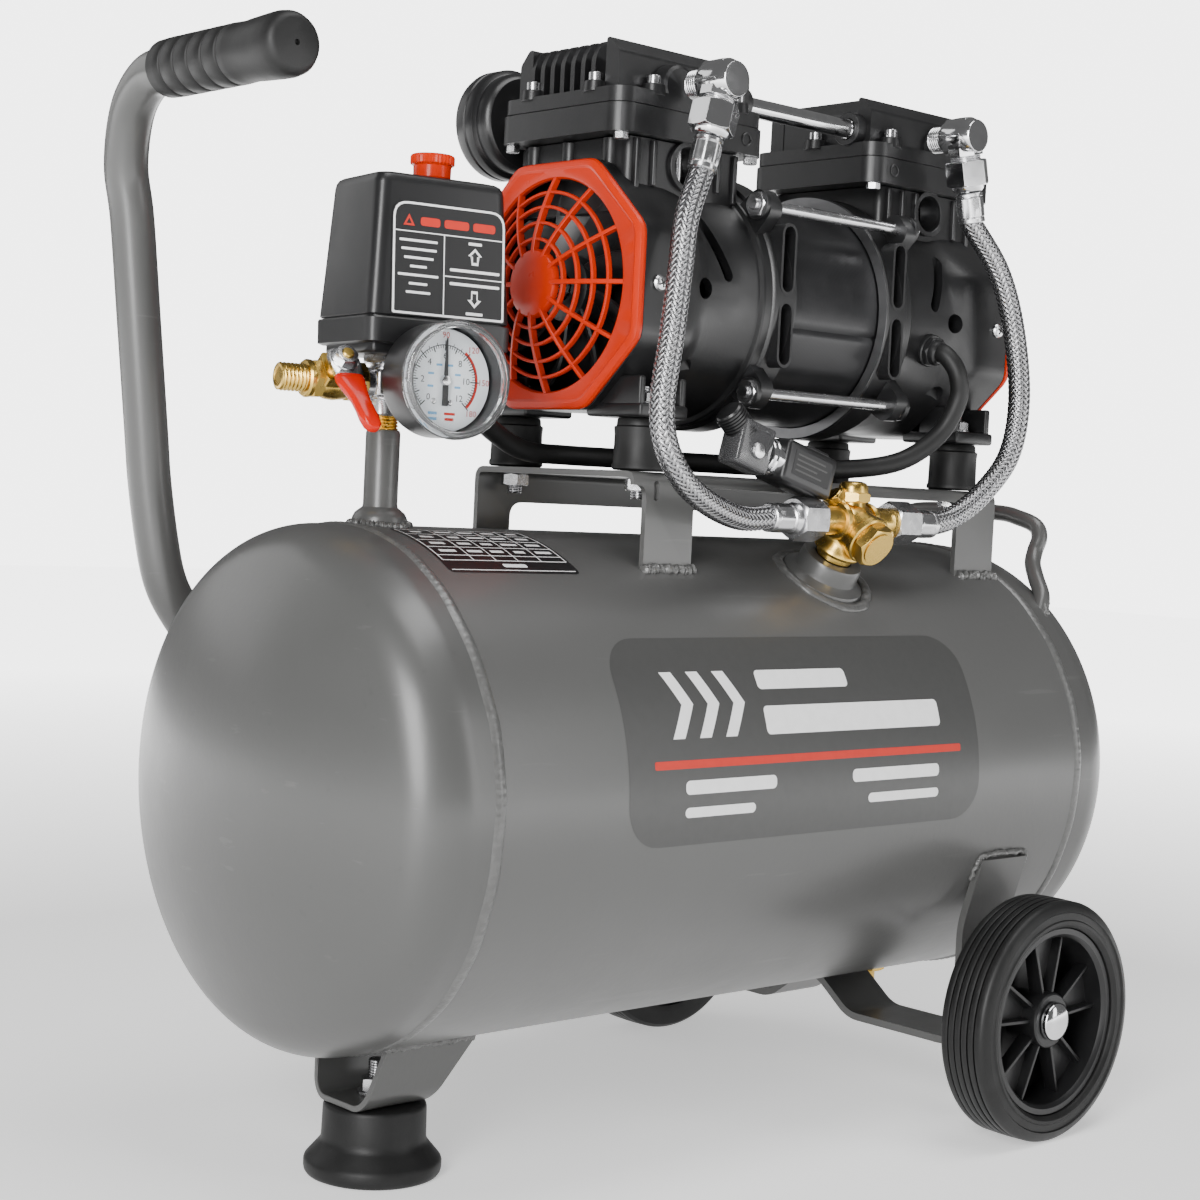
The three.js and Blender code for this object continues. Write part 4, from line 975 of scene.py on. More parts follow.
# ------------------------------------------------------------------ wheels
def wheel_pieces(label, side):
    tyre_low, tyre_high = local_box(f"tyre_{label}")
    centre = Vector(((tyre_low.x + tyre_high.x) / 2, 0, (tyre_low.z + tyre_high.z) / 2))
    outer = (tyre_high.z - tyre_low.z) / 2
    inner_y, outer_y = sorted((abs(tyre_low.y), abs(tyre_high.y)))
    at = aim(centre, (0, side, 0))
    body = f"wheel_{label}"
    rim = 49.2

    profile = [(rim, inner_y + 1.2), (rim + 2.5, inner_y + 0.5), (outer - 6.5, inner_y),
               (outer - 2.4, inner_y + 1.1),
               (outer - 0.7, inner_y + 2.8)]
    ribs = 6
    land = (outer_y - inner_y - 5.6) / ribs
    for i in range(ribs):
        y = inner_y + 2.8 + i * land
        crown = outer - 0.35 * abs(2 * (i + 0.5) / ribs - 1)
        profile += [(crown - 0.25, y + 0.35), (crown, y + 0.9), (crown, y + land - 1.1),
                    (crown - 0.25, y + land - 0.5)]
        if i < ribs - 1:
            profile += [(crown - 2.0, y + land - 0.3), (crown - 2.0, y + land + 0.12)]
    profile += [(outer - 0.7, outer_y - 2.8), (outer - 2.4, outer_y - 1.1), (outer - 5.0, outer_y - 0.3),
                (outer - 5.6, outer_y - 0.1), (outer - 6.2, outer_y - 0.9), (outer - 9.6, outer_y - 0.7),
                (outer - 10.2, outer_y), (outer - 11.8, outer_y - 0.1), (rim + 0.9, outer_y - 0.9),
                (rim, outer_y - 2.2),
                (rim, inner_y + 1.2)]
    make(f"tyre_rubber_{label}", lathe(profile, 160).at(at), "tyre", body=body, replaces=[f"tyre_{label}"],
         smooth=28)

    face = outer_y - 3.0
    barrel = [
        (rim - 0.2, inner_y + 3), (rim - 0.2, face - 0.6), (rim - 0.8, face), (rim - 3.6, face),
        (rim - 4.4, face - 0.8), (rim - 5.4, face - 2.2), (rim - 6.6, face - 12),
        (rim - 6.2, inner_y + 3.6), (rim - 5.4, inner_y + 3), (rim - 0.2, inner_y + 3),
    ]
    hub = [
        (6.3, inner_y - 4), (12.4, inner_y - 4), (13.0, inner_y - 3.4), (13.4, face - 14), (14.6, face - 4),
        (14.2, face - 2.6), (13.4, face - 2), (6.3, face - 2), (6.3, inner_y - 4),
    ]
    web = [(12.8, face - 23.6), (rim - 6.1, face - 23.6), (rim - 6.1, face - 22.0), (12.8, face - 22.0),
           (12.8, face - 23.6)]
    wheel = lathe(barrel, 128) + lathe(hub, 64) + lathe(web, 96)
    count, wedge_half = 5, 15.5
    inside, outside = 12.0, rim - 5.6

    def sloped(v):
        """A rib's outer edge falls away towards the rim."""
        return Vector((v.x, v.y, v.z - (0 if v.z < face - 10 else (v.x - inside) * 0.05)))

    for i in range(count):
        middle = 360 / count * i + 90
        wedge = [polar(inside, middle - wedge_half * 0.9), polar(inside, middle + wedge_half * 0.9)]
        wedge += [polar(outside, middle + wedge_half - 2 * wedge_half * k / 6) for k in range(7)]
        wheel = wheel + plate(list(reversed(wedge)), face - 14.0, face - 11.6)
        for edge in (-1, 1):
            rib_angle = middle + edge * wedge_half
            rib = brick(inside, outside + 0.4, -0.9, 0.9, face - 14.0, face - 5.0, edge=0.4)
            wheel = wheel + rib.bent(sloped).at(turn("Z", rib_angle))
    make(f"rim_moulding_{label}", wheel.at(at), "black_plastic", body=body, replaces=[f"rim_{label}"],
         smooth=28)

    bolt_low, bolt_high = local_box(f"axle_bolt_{label}")
    cap_y = max(abs(bolt_low.y), abs(bolt_high.y))
    dome = [(0, cap_y)] + [(10.0 * math.sin(math.radians(a)), cap_y - 3.4 + 3.4 * math.cos(math.radians(a)))
                           for a in range(12, 91, 13)]
    dome += [(10.0, cap_y - 5.6), (6.0, cap_y - 5.6), (6.0, 108.0), (0, 108.0)]
    axle = lathe(dome, 64) + tube((0, 0, 106.4), (0, 0, 122.6), 9.0, 6.0)
    axle = axle + hexagon(19.0, 94.8, 101.6, bore=5.6).at(turn("Z", 15))
    axle = axle + thread(6.0, 90, 108, pitch=1.75, depth=0.8)
    make(f"axle_bolt_capped_{label}", axle.at(at), "chrome", replaces=[f"axle_bolt_{label}"], smooth=35)


for wheel_label, wheel_side in (("near", -1), ("far", 1)):
    wheel_pieces(wheel_label, wheel_side)


def wheel_bracket_pieces():
    low, high = local_box("wheel_bracket")
    middle = (low.x + high.x) / 2
    strap = 4.0
    half = [(6.0, 61.4), (30.0, 43.2), (98.0, 43.2), (104.0, 50.0), (104.0, 106.0), (114.6, 143.0)]
    corners = [(-y, z) for y, z in reversed(half)] + half
    sheet = folded(bent_line(corners, radius=7.0), thickness=strap,
                   span=lambda point: (middle - 19, middle + 19))
    make("wheel_bracket_strap", sheet, "grey_paint", replaces=["wheel_bracket"], bevel=0.6)
    for i, side in enumerate((-1, 1)):
        base = BOTTOM + side * 69.5
        top = BOTTOM + side * 71.2
        outline = [(middle - 20, base - side * 5), (middle - 20, base), (middle - 17, top),
                   (middle, top + side * 0.4),
                   (middle + 17, top), (middle + 20, base), (middle + 20, base - side * 5)]
        weld_run(f"wheel_bracket_weld_{i + 1}", [on_receiver(x, a, lift=0.8) for x, a in outline], radius=1.7,
                 seed=11 + i)
        seat = [on_receiver(middle + x, BOTTOM + side * 4.5, lift=0.2) for x in (-19, -8, 6, 19)]
        weld_run(f"wheel_bracket_seat_weld_{i + 1}", seat, radius=2.2, seed=21 + i)


wheel_bracket_pieces()


# ------------------------------------------------------------------ handles
HANDLE_Y = 119.7
grip_low, grip_high = local_box("handle_grip")
GRIP_X = (grip_low.x + grip_high.x) / 2
GRIP_Z = (grip_low.z + grip_high.z) / 2
GRIP_END = grip_low.y
GRIP_START = grip_high.y


def carry_handle_pieces():
    route = [
        (44, HANDLE_Y - 3, 223), (24, HANDLE_Y - 3, 232), (4, HANDLE_Y - 2.5, 243),
        (-9, HANDLE_Y - 2, 257.5), (-17.3, HANDLE_Y - 1.5, 272), (-22.5, HANDLE_Y - 1, 292),
        (-27, HANDLE_Y, 320), (-30, HANDLE_Y, 345), (-36, HANDLE_Y, 395), (-42, HANDLE_Y, 445),
        (-47, HANDLE_Y - 1, 470), (-51, HANDLE_Y - 12, 494), (-53.5, HANDLE_Y - 30, 506.5),
        (GRIP_X, 72, GRIP_Z), (GRIP_X, 40, GRIP_Z), (GRIP_X, 10, GRIP_Z), (GRIP_X, -20, GRIP_Z),
    ]
    make("carry_handle_tube", sweep(curve(route, steps=8), circle(10.5, steps=48)), "grey_paint",
         replaces=["carry_handle"])
    for i, side in enumerate((-1, 1)):
        places = ((44, 18.5), (32, 21.5), (20, 25.0), (8, 28.0))
        weld = [on_receiver(x, angle + 4.6 * side, lift=0.6) for x, angle in places]
        weld_run(f"carry_handle_weld_{i + 1}", weld, radius=2.0, seed=31 + i)

    length = GRIP_START - GRIP_END
    profile = [(10.6, 0.2), (12.4, 0), (13.2, 0.8)]
    grooves, first, pitch = 5, 12, 11.6
    for i in range(grooves):
        y = first + i * pitch
        profile += [(13.4, y - pitch / 2), (13.5, y - 1.2), (13.1, y - 0.6), (12.3, y - 0.25),
                    (12.3, y + 0.25),
                    (13.1, y + 0.6), (13.5, y + 1.2)]
    last = first + grooves * pitch - 6
    profile += [(13.3, last), (13.1, last + 6), (13.5, last + 11), (14.2, length - 13), (14.3, length - 8),
                (13.8, length - 4), (12.4, length - 1.4), (10.2, length - 0.4), (1.3, length),
                (1.2, length - 1.6),
                (0, length - 1.8)]
    make("handle_grip_rubber", lathe(profile, 96).at(aim((GRIP_X, GRIP_START, GRIP_Z), (0, -1, 0))), "rubber",
         replaces=["handle_grip"], smooth=40)


def lift_handle_piece():
    half = [(424, 80, 269), (430, 77, 279), (436, 68, 289), (443, 60, 297), (448.5, 57, 304), (452, 57, 312),
            (453, 53, 318.5), (452, 42, 322.6), (452, 25, 325.2)]
    route = [(x, -y, z) for x, y, z in half] + list(reversed(half))
    make("lift_handle_rod", sweep(curve(route, steps=8), circle(4.6, steps=28)), "grey_paint",
         replaces=["lift_handle"])
    for i, side in enumerate((-1, 1)):
        weld = [(422, side * 85, 266), (426, side * 83, 272), (430, side * 80, 277), (434, side * 75, 281)]
        weld_run(f"lift_handle_weld_{i + 1}", weld, radius=2.4, seed=41 + i)


carry_handle_pieces()
lift_handle_piece()
# ------------------------------------------------------------------ pump: shared places
stator_low, stator_high = local_box("stator")
PUMP_X = (stator_low.x + stator_high.x) / 2
MOTOR_Z = (stator_low.z + stator_high.z) / 2
HEAD_Z = local_box("cylinder_head_front")[0].z
CYLINDER_X = PUMP_X - 92.5
MIRROR = move(2 * PUMP_X) @ Matrix.Scale(-1, 4, (1, 0, 0))
HALVES = (("front", Matrix()), ("rear", MIRROR))
ROD_Y, ROD_DZ = 57.0, 46.5
ROD_PLACES = (("near_upper", -ROD_Y, ROD_DZ), ("near_lower", -ROD_Y, -ROD_DZ),
              ("far_upper", ROD_Y, ROD_DZ), ("far_lower", ROD_Y, -ROD_DZ))


def across_x(x0):
    """Local x, y and z run along Y, Z and X."""
    return aim((x0, 0, 0), (1, 0, 0), (0, 1, 0))


def towards_near(y0):
    """Local x, y and z run along X, Z and -Y."""
    return aim((0, y0, 0), (0, -1, 0), (1, 0, 0))


def about_motor(x0=0.0):
    return move(0, 0, MOTOR_Z) @ across_x(x0)


def octagon_radius(degrees, half_y, half_z, sharpness=48):
    """Distance from the middle to an octagon with eased corners."""
    c, s = polar(1.0, degrees)
    long = math.hypot(half_y, half_z)
    a, b, d = half_z / long, half_y / long, 1.44 * half_y * half_z / long
    sides = [(1, 0, half_y), (-1, 0, half_y), (0, 1, half_z), (0, -1, half_z)]
    sides += [(i * a, j * b, d) for i in (-1, 1) for j in (-1, 1)]
    total = sum((max(c * y + s * z, 0) / far) ** sharpness for y, z, far in sides)
    return total ** (-1 / sharpness)


def octagon_row(x, half_y, half_z, steps=128, circle_part=0.0, radius=0.0):
    """A ring of points at x: an octagon, a circle, or a blend of them."""
    row = []
    for j in range(steps):
        angle = 360 * j / steps
        r = octagon_radius(angle, half_y, half_z) if circle_part < 1 else 0
        r = r * (1 - circle_part) + radius * circle_part
        a, b = polar(r, angle)
        row.append((x, a, MOTOR_Z + b))
    return row


def round_row(x, radius, steps=128):
    return octagon_row(x, 1, 1, steps, 1.0, radius)


def prism(outline, x0, x1, holes=()):
    """An outline of (y, z) points pushed along X."""
    return plate(outline, 0, x1 - x0, holes).at(across_x(x0))


# ------------------------------------------------------------------ motor bracket and rubber mounts
BRACKET_TOP = local_box("motor_bracket")[1].z
MOUNT_TOP = 361.5


def motor_bracket_piece():
    """The folded sheet under the pump: windows leave two legs on the near side and two on the far side."""
    low, high = local_box("motor_bracket")
    thickness, below_legs = 3.0, 240
    half = high.y - thickness / 2
    mid = BRACKET_TOP - thickness / 2
    foot = 286.0
    line = bent_line([(-half, foot), (-half, mid), (half, mid), (half, foot)], radius=5.0)
    sheet = make("motor_bracket_sheet", folded(line, thickness=thickness, span=lambda p: (low.x, high.x)),
                 "grey_paint",
                 replaces=["motor_bracket"])
    near = [rectangle(x0, x1, below_legs, mid - 5, radius=6) for x0, x1 in ((168, 372), (100, 136))]
    far = [rectangle(150, 380, below_legs, 318, radius=8)]
    cord_slot = [stadium(142.5, 324, 142.5, 330, 1.8)]
    depth = 16
    cut_from(sheet, [plate(outline, 0, depth).at(towards_near(y + depth / 2))
                     for outlines,
                     y in ((near, -half), (far, half), (cord_slot, -half)) for outline in outlines])
    leg_angle = math.degrees(math.asin((half + 2.2) / RADIUS))
    for i, (x0, x1) in enumerate(((134, 170), (374, 407))):
        near_line = [on_receiver(x, 90 + leg_angle, lift=0.6)
                     for x in (x0, x0 + 8, (x0 + x1) / 2, x1 - 8, x1)]
        weld_run(f"motor_bracket_weld_{i + 1}", near_line, radius=2.6, seed=51 + i, wander=0.9)
        far_line = [on_receiver(x, 90 - leg_angle, lift=0.6) for x in (x0, (x0 + x1) / 2, x1)]
        weld_run(f"motor_bracket_weld_far_{i + 1}", far_line, radius=2.2, seed=61 + i)


def rubber_mount_pieces(label):
    low, high = local_box(f"rubber_mount_{label}")
    x, y = (low.x + high.x) / 2, (low.y + high.y) / 2
    base = BRACKET_TOP + 0.3
    top = MOUNT_TOP
    profile = [(0, base), (12.6, base), (13.8, base + 0.9), (13.8, base + 2.6), (13.2, base + 3.6),
               (13.0, top - 8), (13.3, top - 5.4), (13.3, top - 4.4), (12.2, top - 3.6), (12.0, top - 0.9),
               (11.4, top),
               (0, top)]
    make(f"rubber_mount_body_{label}", lathe(profile, 64).at(move(x, y)), "rubber",
         replaces=[f"rubber_mount_{label}"], smooth=35)
    under = BRACKET_TOP - 3.3
    metal = hexagon(12.8, under - 6, under, bore=3.9) + thread(3.9, under - 10, under, pitch=1.25, depth=0.55)
    metal = metal + hexagon(12.8, top + 7.4, top + 12.6, bore=3.9)
    metal = metal + thread(3.9, top, top + 15.5, pitch=1.25, depth=0.55)
    metal = metal + tube((0, 0, top + 7), (0, 0, top + 8.2), 8.4, 4.1)
    make(f"rubber_mount_studs_{label}", metal.at(move(x, y)), "zinc_steel")


motor_bracket_piece()
for mount in ("front_near", "front_far", "rear_near", "rear_far"):
    rubber_mount_pieces(mount)


# ------------------------------------------------------------------ crankcase castings
def casting_skin():
    """Octagonal fan shroud that turns into the round bell, with its inner walls."""
    rows = [
        octagon_row(124.0, 63.2, 59.7), octagon_row(124.6, 64.0, 60.5), octagon_row(148.0, 64.0, 60.5),
        octagon_row(156.0, 64.0, 60.5, circle_part=0.1, radius=61),
        octagon_row(162.0, 64.0, 60.5, circle_part=0.45, radius=61),
        octagon_row(167.0, 64.0, 60.5, circle_part=0.85, radius=61), round_row(171.0, 61.0),
        round_row(204.0, 61.0),
        round_row(205.2, 61.6), round_row(206.0, 63.6), round_row(207.0, 64.2), round_row(211.6, 64.2),
        round_row(212.2, 65.2),
        round_row(213.0, 65.8), round_row(227.4, 65.8), round_row(228.0, 65.2), round_row(228.0, 60.6),
        round_row(213.8, 60.6), round_row(213.8, 56.0), round_row(168.0, 56.0), round_row(168.0, 9.0),
        round_row(152.0, 9.0), octagon_row(152.0, 60.0, 56.5), octagon_row(124.0, 60.6, 57.1),
    ]
    return grid(rows, close=True)


def slot_prism(x0, z0, x1, z1, half_width, depth=24, near=-48):
    return plate(stadium(x0, z0, x1, z1, half_width), 0, depth).at(towards_near(near))


VENT_X = 220.5
VENT_SPANS = ((458, 433), (420, 397))
WINDOW_Z = MOTOR_Z + 61


def casting_ear(y, dz):
    angle = math.degrees(math.atan2(dz, y))
    outline = rounded([(54, -11), (66, -9.5), (79.5, -8), (79.5, 8), (66, 9.5), (54, 11)],
                      [0.1, 4, 6.5, 6.5, 4, 0.1])
    ear = plate([polar(math.hypot(a, b), angle + math.degrees(math.atan2(b, a))) for a, b in outline], 0, 8.5)
    rim = tube((y, dz, -2.4), (y, dz, 0.6), 7.4, 3.3)
    return (ear + rim).at(about_motor(206.8))


def casting_details():
    """Ears, cylinder block, ribs and feet of the front casting."""
    shapes = [casting_ear(y, dz) for _, y, dz in ROD_PLACES]
    for side in (-1, 1):
        y0, y1 = sorted((side * 22.5, side * 61.5))
        shapes.append(brick(128, 160, y0, y1, MOUNT_TOP + 0.3, MOUNT_TOP + 6.8, edge=1.6))
        for x in (129, 156):
            shapes.append(brick(x, x + 4, y0 + 2, y1 - 6, MOUNT_TOP + 5, MOUNT_TOP + 20, edge=1.2))
        shapes.append(brick(130, 160, side * 30 - 7, side * 30 + 7, MOUNT_TOP + 4, MOUNT_TOP + 16, edge=2))
    rib_top, half_rib = 496, 1.4
    for x, z0 in ((136.5, 470), (148, 474), (181, 476), (192, 476), (203.5, 472)):
        for y0, y1 in ((-42.4, -38), (38, 42.4)):
            shapes.append(brick(x - half_rib, x + half_rib, y0, y1, z0, rib_top, edge=0.8))
    for y in (-26, 4, 30):
        shapes.append(rod((133.5, y, 478), (133.5, y, HEAD_Z - 0.6), 4.2))
    shapes.append(tube((CYLINDER_X, -42.6, WINDOW_Z), (CYLINDER_X, -39.0, WINDOW_Z), 12.4, 9.6, steps=48))
    for z0, z1 in VENT_SPANS:
        outline, hole = (stadium(VENT_X, z0, VENT_X, z1, radius) for radius in (5.4, 3.9))
        shapes.append(plate(outline, 0, 9, [hole]).at(towards_near(-56.8)))
    return shapes


def casting_block():
    outline = rectangle(CYLINDER_X - 38, CYLINDER_X + 38, -40, 40, radius=6)
    return plate(outline, MOTOR_Z + 36, HEAD_Z - 0.3, [circle(29.8, steps=48, x=CYLINDER_X, y=0)])


def crankcase_pieces(label, matrix):
    shell = make(f"crankcase_skin_{label}", casting_skin().at(matrix), "black_paint",
                 replaces=[f"crankcase_{label}"], smooth=34)
    cutters = [slot_prism(VENT_X, z0, VENT_X, z1, 3.6) for z0, z1 in VENT_SPANS]
    cutters.append(slot_prism(172, 459, 183.5, 434, 3.2))
    cutters += [slot_prism(167, z, 167.01, z, 5.2) for z in (426, 387)]
    cut_from(shell, [c.at(matrix) for c in cutters])
    block = make(f"cylinder_block_{label}", casting_block().at(matrix), "black_paint", bevel=0.8)
    window = rod((CYLINDER_X, -60, WINDOW_Z), (CYLINDER_X, 0, WINDOW_Z), 9.5, steps=40)
    cut_from(block, [window.at(matrix)])
    parts = joined(casting_details())
    make(f"crankcase_details_{label}", parts.at(matrix), "black_paint", bevel=0.5)
    liner = rod((CYLINDER_X + 2, -31.5, MOTOR_Z + 50), (CYLINDER_X + 2, -31.5, MOTOR_Z + 71), 2.6)
    make(f"cylinder_stud_{label}", liner.at(matrix), "zinc_steel")
    screws = []
    head = [(0, 0), (3.9, 0), (3.9, 0.9), (3.2, 1.9), (1.6, 2.5), (0, 2.6)]
    # Painted shade: a black cross on each zinc screw head stands for the shade inside its cross recess.
    recess = brick(-2.2, 2.2, -0.4, 0.4, 2.2, 2.75, edge=0.1)
    recess = recess + brick(-0.4, 0.4, -2.2, 2.2, 2.2, 2.75, edge=0.1)
    for side, side_label in ((-1, "near"), (1, "far")):
        spot = aim((133.5, side * 64.2, 425), (0, side, 0))
        screws.append(lathe(head, 32).at(spot))
        make(f"shroud_screw_recess_{label}_{side_label}", recess.at(matrix @ spot @ turn("Z", 25)),
             "black_paint")
    make(f"shroud_screws_{label}", joined(screws).at(matrix), "zinc_steel")


for half_label, half_matrix in HALVES:
    crankcase_pieces(half_label, half_matrix)

face = lathe([(59.8, 0), (65.2, 0), (65.2, 0.35), (59.8, 0.35), (59.8, 0)], 128)
make("flange_machined_face", face.at(about_motor(297.6)), "bare_casting")


# ------------------------------------------------------------------ cylinder heads
HEAD_BOLTS = ((146.0, -40.5), (204.0, -40.5), (124.8, -22.0), (124.8, 24.0), (146.0, 40.5), (204.0, 40.5),
              (219.0, 0.0))


def head_shapes():
    """Black parts of the front head, and its silver fasteners."""
    z0 = HEAD_Z
    x0, x1 = 120.0, 222.0
    middle = (x0 + x1) / 2
    band = [(x0, -40), (x0 + 6, -46), (x1 - 6, -46), (x1, -40), (x1, 40), (x1 - 6, 46), (x0 + 6, 46),
            (x0, 40)]

    def smaller(inset, scale):
        return rounded([(x + (inset if x < middle else -inset), y * scale) for x, y in band], 4)

    low_band = plate(rounded(band, 5), z0 + 0.2, z0 + 13.6)
    top_plate = plate(smaller(0.8, 0.985), z0 + 14.4, z0 + 21.6)
    gasket = plate(smaller(2, 0.96), z0 + 13.4, z0 + 14.8)
    body = [(-35.6, 21), (35.6, 21), (36, 23), (36, 38), (29, 45), (-29, 45), (-36, 38), (-36, 23)]
    cover = prism([(y, z0 + z) for y, z in rounded(body, 2.0)], 133.0, 215.6)
    wall = [(-36.4, 21), (-27, 21), (-27, 46.4), (-30, 46.4), (-36.4, 39.4)]
    near_wall = prism([(y, z0 + z) for y, z in rounded(wall, 1.4)], 126.4, 216)
    far_wall = near_wall.at(Matrix.Scale(-1, 4, (0, 1, 0)))
    fin = [(126, 21), (126, 38), (131, 46.6), (202, 46.6), (209, 44.4), (209, 21)]
    fin = rounded([(x, z0 + z) for x, z in fin], [0.1, 4, 4, 3, 3, 0.1])
    fins = joined([plate(fin, 0, 3.0).at(towards_near(y)) for y in (-17, -9.5, -2, 5.5, 13, 20.5, 28)])
    boss = lathe([(0, 0), (11.4, 0), (11.4, 7), (10.6, 9.4), (9.0, 10.4), (0, 10.4)],
                 48).at(towards_near(-34.5))
    boss = boss.at(move(160, 0, z0 + 26))
    lugs = [rod((x, y, z0 + 20), (x, y, z0 + 25.5), 6.0, end_radius=5.4) for x, y in HEAD_BOLTS]
    mark = tube((206, -46.1, z0 + 7.4), (206, -46.7, z0 + 7.4), 3.4, 2.5)
    black = joined([low_band, top_plate, gasket, cover, near_wall, far_wall, fins, boss, mark] + lugs)
    silver = joined([socket_bolt(x, y, z0 + 25.5) for x, y in HEAD_BOLTS])
    tip = hexagon(6.4, z0 - 3.4, z0 + 0.2)
    tips = joined([tip.at(move(x, y)) for y in (-40, 40) for x in (126.5, 215.5)])
    return black, silver + tips


def socket_bolt(x, y, z):
    head = [(0, 0), (3.5, 0), (3.5, 3.9), (3.1, 4.3), (2.3, 4.3), (1.8, 4.0), (1.7, 1.6), (0, 1.6)]
    return lathe(head, 32).at(move(x, y, z))


def head_pieces(label, matrix):
    black, silver = head_shapes()
    make(f"head_casting_{label}", black.at(matrix), "black_paint", replaces=[f"cylinder_head_{label}"],
         bevel=0.7)
    make(f"head_bolts_{label}", silver.at(matrix), "zinc_steel")


for half_label, half_matrix in HALVES:
    head_pieces(half_label, half_matrix)


# ------------------------------------------------------------------ fan guards and fans
def dome_x(r):
    """Where the grille's face lies at radius r: it bulges outwards from the rim to the hub."""
    return 108.6 + 12.2 * (max(r - 16.0, 0) / 36.0) ** 1.5


def guard_rim():
    rows = [
        octagon_row(123.6, 64.6, 60.1), octagon_row(122.0, 64.9, 60.4), octagon_row(120.6, 64.2, 59.7),
        octagon_row(119.7, 62.6, 58.1), octagon_row(119.4, 61.4, 56.9), octagon_row(119.7, 60.6, 56.1),
        octagon_row(120.0, 60.0, 55.6), round_row(120.2, 54.0), round_row(120.6, 52.8),
        round_row(121.6, 52.0),
        round_row(123.6, 52.0), octagon_row(123.6, 62.0, 57.5),
    ]
    return grid(rows, close=True)


def guard_grille():
    parts = []
    for r in (21.5, 29.5, 37.5, 45.0):
        x = dome_x(r)
        ring = [(r - 0.8, 0.5), (r - 0.5, 0), (r + 0.5, -0.1), (r + 0.9, 0.4), (r + 0.8, 2.6), (r - 0.7, 2.6),
                (r - 0.8, 0.5)]
        parts.append(lathe(ring, 96).at(about_motor(x)))
    inner, outer, steps = 14.0, 52.6, 12
    for i in range(12):
        rows = []
        for k in range(steps + 1):
            r = inner + (outer - inner) * k / steps
            x = dome_x(r) - 0.5
            half = 1.15 if i % 3 == 0 else 0.95
            rows.append([(r, -half, x + 0.35), (r, -half + 0.35, x), (r, half - 0.35, x), (r, half, x + 0.35),
                         (r, half - 0.1, x + 3.6), (r, -half + 0.1, x + 3.6)])
        parts.append(capped(rows).at(about_motor(0) @ turn("Z", 30 * i + 90)))
    hub = [(0, 107.4), (9, 107.5), (13.5, 107.9), (15.8, 108.7), (16.8, 110.2), (16.8, 112.2), (0, 112.2)]
    parts.append(lathe(hub, 64).at(about_motor(0)))
    return joined(parts)


def fan_shape():
    hub = [(6.6, 129), (14, 129), (16.4, 130.4), (17, 132.4), (17, 146), (6.6, 146), (6.6, 129)]
    parts = [lathe(hub, 48).at(about_motor(0))]
    blades, steps, half = 9, 8, 8.6
    for i in range(blades):
        rows = []
        for k in range(steps + 1):
            r = 15.5 + 33.5 * k / steps
            sweep_angle = 10 * (k / steps) ** 2
            pitch = math.radians(52 - 20 * k / steps)
            points = []
            for t, n in ((-1, -0.7), (0, -1.6), (1, -0.7), (1, 0.7), (0, 0.6), (-1, 0.7)):
                across = t * half * math.cos(pitch) - n * math.sin(pitch)
                along = t * half * math.sin(pitch) + n * math.cos(pitch)
                a, b = polar(r, sweep_angle + math.degrees(across / r))
                points.append((a, b, 137.5 + along))
            rows.append(points)
        parts.append(capped(rows).at(about_motor(0) @ turn("Z", 360 * i / blades)))
    return joined(parts)


for half_label, half_matrix in HALVES:
    make(f"guard_rim_{half_label}", guard_rim().at(half_matrix), "red_plastic",
         replaces=[f"fan_guard_{half_label}"], smooth=25)
    make(f"guard_grille_{half_label}", guard_grille().at(half_matrix), "red_plastic", smooth=35)
    make(f"fan_moulding_{half_label}", fan_shape().at(half_matrix), "black_plastic", body="rotor",
         replaces=[f"fan_{half_label}"], smooth=35)


# ------------------------------------------------------------------ stator, tie rods, crossover pipe
def stator_piece():
    x0, x1 = stator_low.x, stator_high.x
    rows = []
    steps = 192
    for x, r in ((x0, 40), (x0, 58.2), (x0 + 0.8, 58.6), (228.4, 58.6), (229.0, 59.3), (296.6, 59.3),
                 (297.2, 58.6),
                 (x1 - 0.8, 58.6), (x1, 58.2), (x1, 40)):
        row = []
        for j in range(steps):
            angle = 360 * j / steps
            groove = 1.1 * max(0, 1 - abs((angle + 45) % 90 - 45) / 2.2) if r > 50 else 0
            a, b = polar(r - groove, angle + 12)
            row.append((x, a, MOTOR_Z + b))
        rows.append(row)
    make("stator_stack", grid(rows, close=True), "laminations", replaces=["stator"], smooth=30)


def tie_rod_pieces(label, y, dz):
    z = MOTOR_Z + dz
    low, high = local_box(f"tie_rod_{label}")
    inner, outer = low.x, high.x
    shapes = [rod((inner + 6, y, z), (outer - 6, y, z), 2.9)]
    along = aim((0, y, z), (1, 0, 0))
    shapes += [thread(3.0, x0, x1, pitch=1.0, depth=0.5).at(along) for x0,
               x1 in ((inner - 0.4, inner + 8), (outer - 8, outer + 0.4))]
    shapes += [hexagon(11.6, x0, x0 + 5, bore=2.6).at(along) for x0 in (inner + 1.2, outer - 6.2)]
    make(f"tie_rod_and_nuts_{label}", joined(shapes), "zinc_steel", replaces=[f"tie_rod_{label}"])


def crossover_piece():
    low, high = local_box("crossover_pipe")
    y, z = (low.y + high.y) / 2, (low.z + high.z) / 2
    pipe = rod((low.x, y, z), (high.x, y, z), 5.0, steps=40)
    for x, side in ((low.x, 1), (high.x, -1)):
        pipe = pipe + rod((x, y, z), (x + side * 5, y, z), 5.4, steps=40)
        pipe = pipe + tube((x + side * 5.4, y, z), (x + side * 7, y, z), 5.35, 5.0)
    make("crossover_tube", pipe, "chrome", replaces=["crossover_pipe"])
    collars = Shape()
    for x, side in ((low.x - 3.2, 1), (high.x + 3.2, -1)):
        collars = collars + tube((x, y, z), (x + side * 9.5, y, z), 8.8, 5.6)
    make("crossover_sockets", collars, "black_paint")


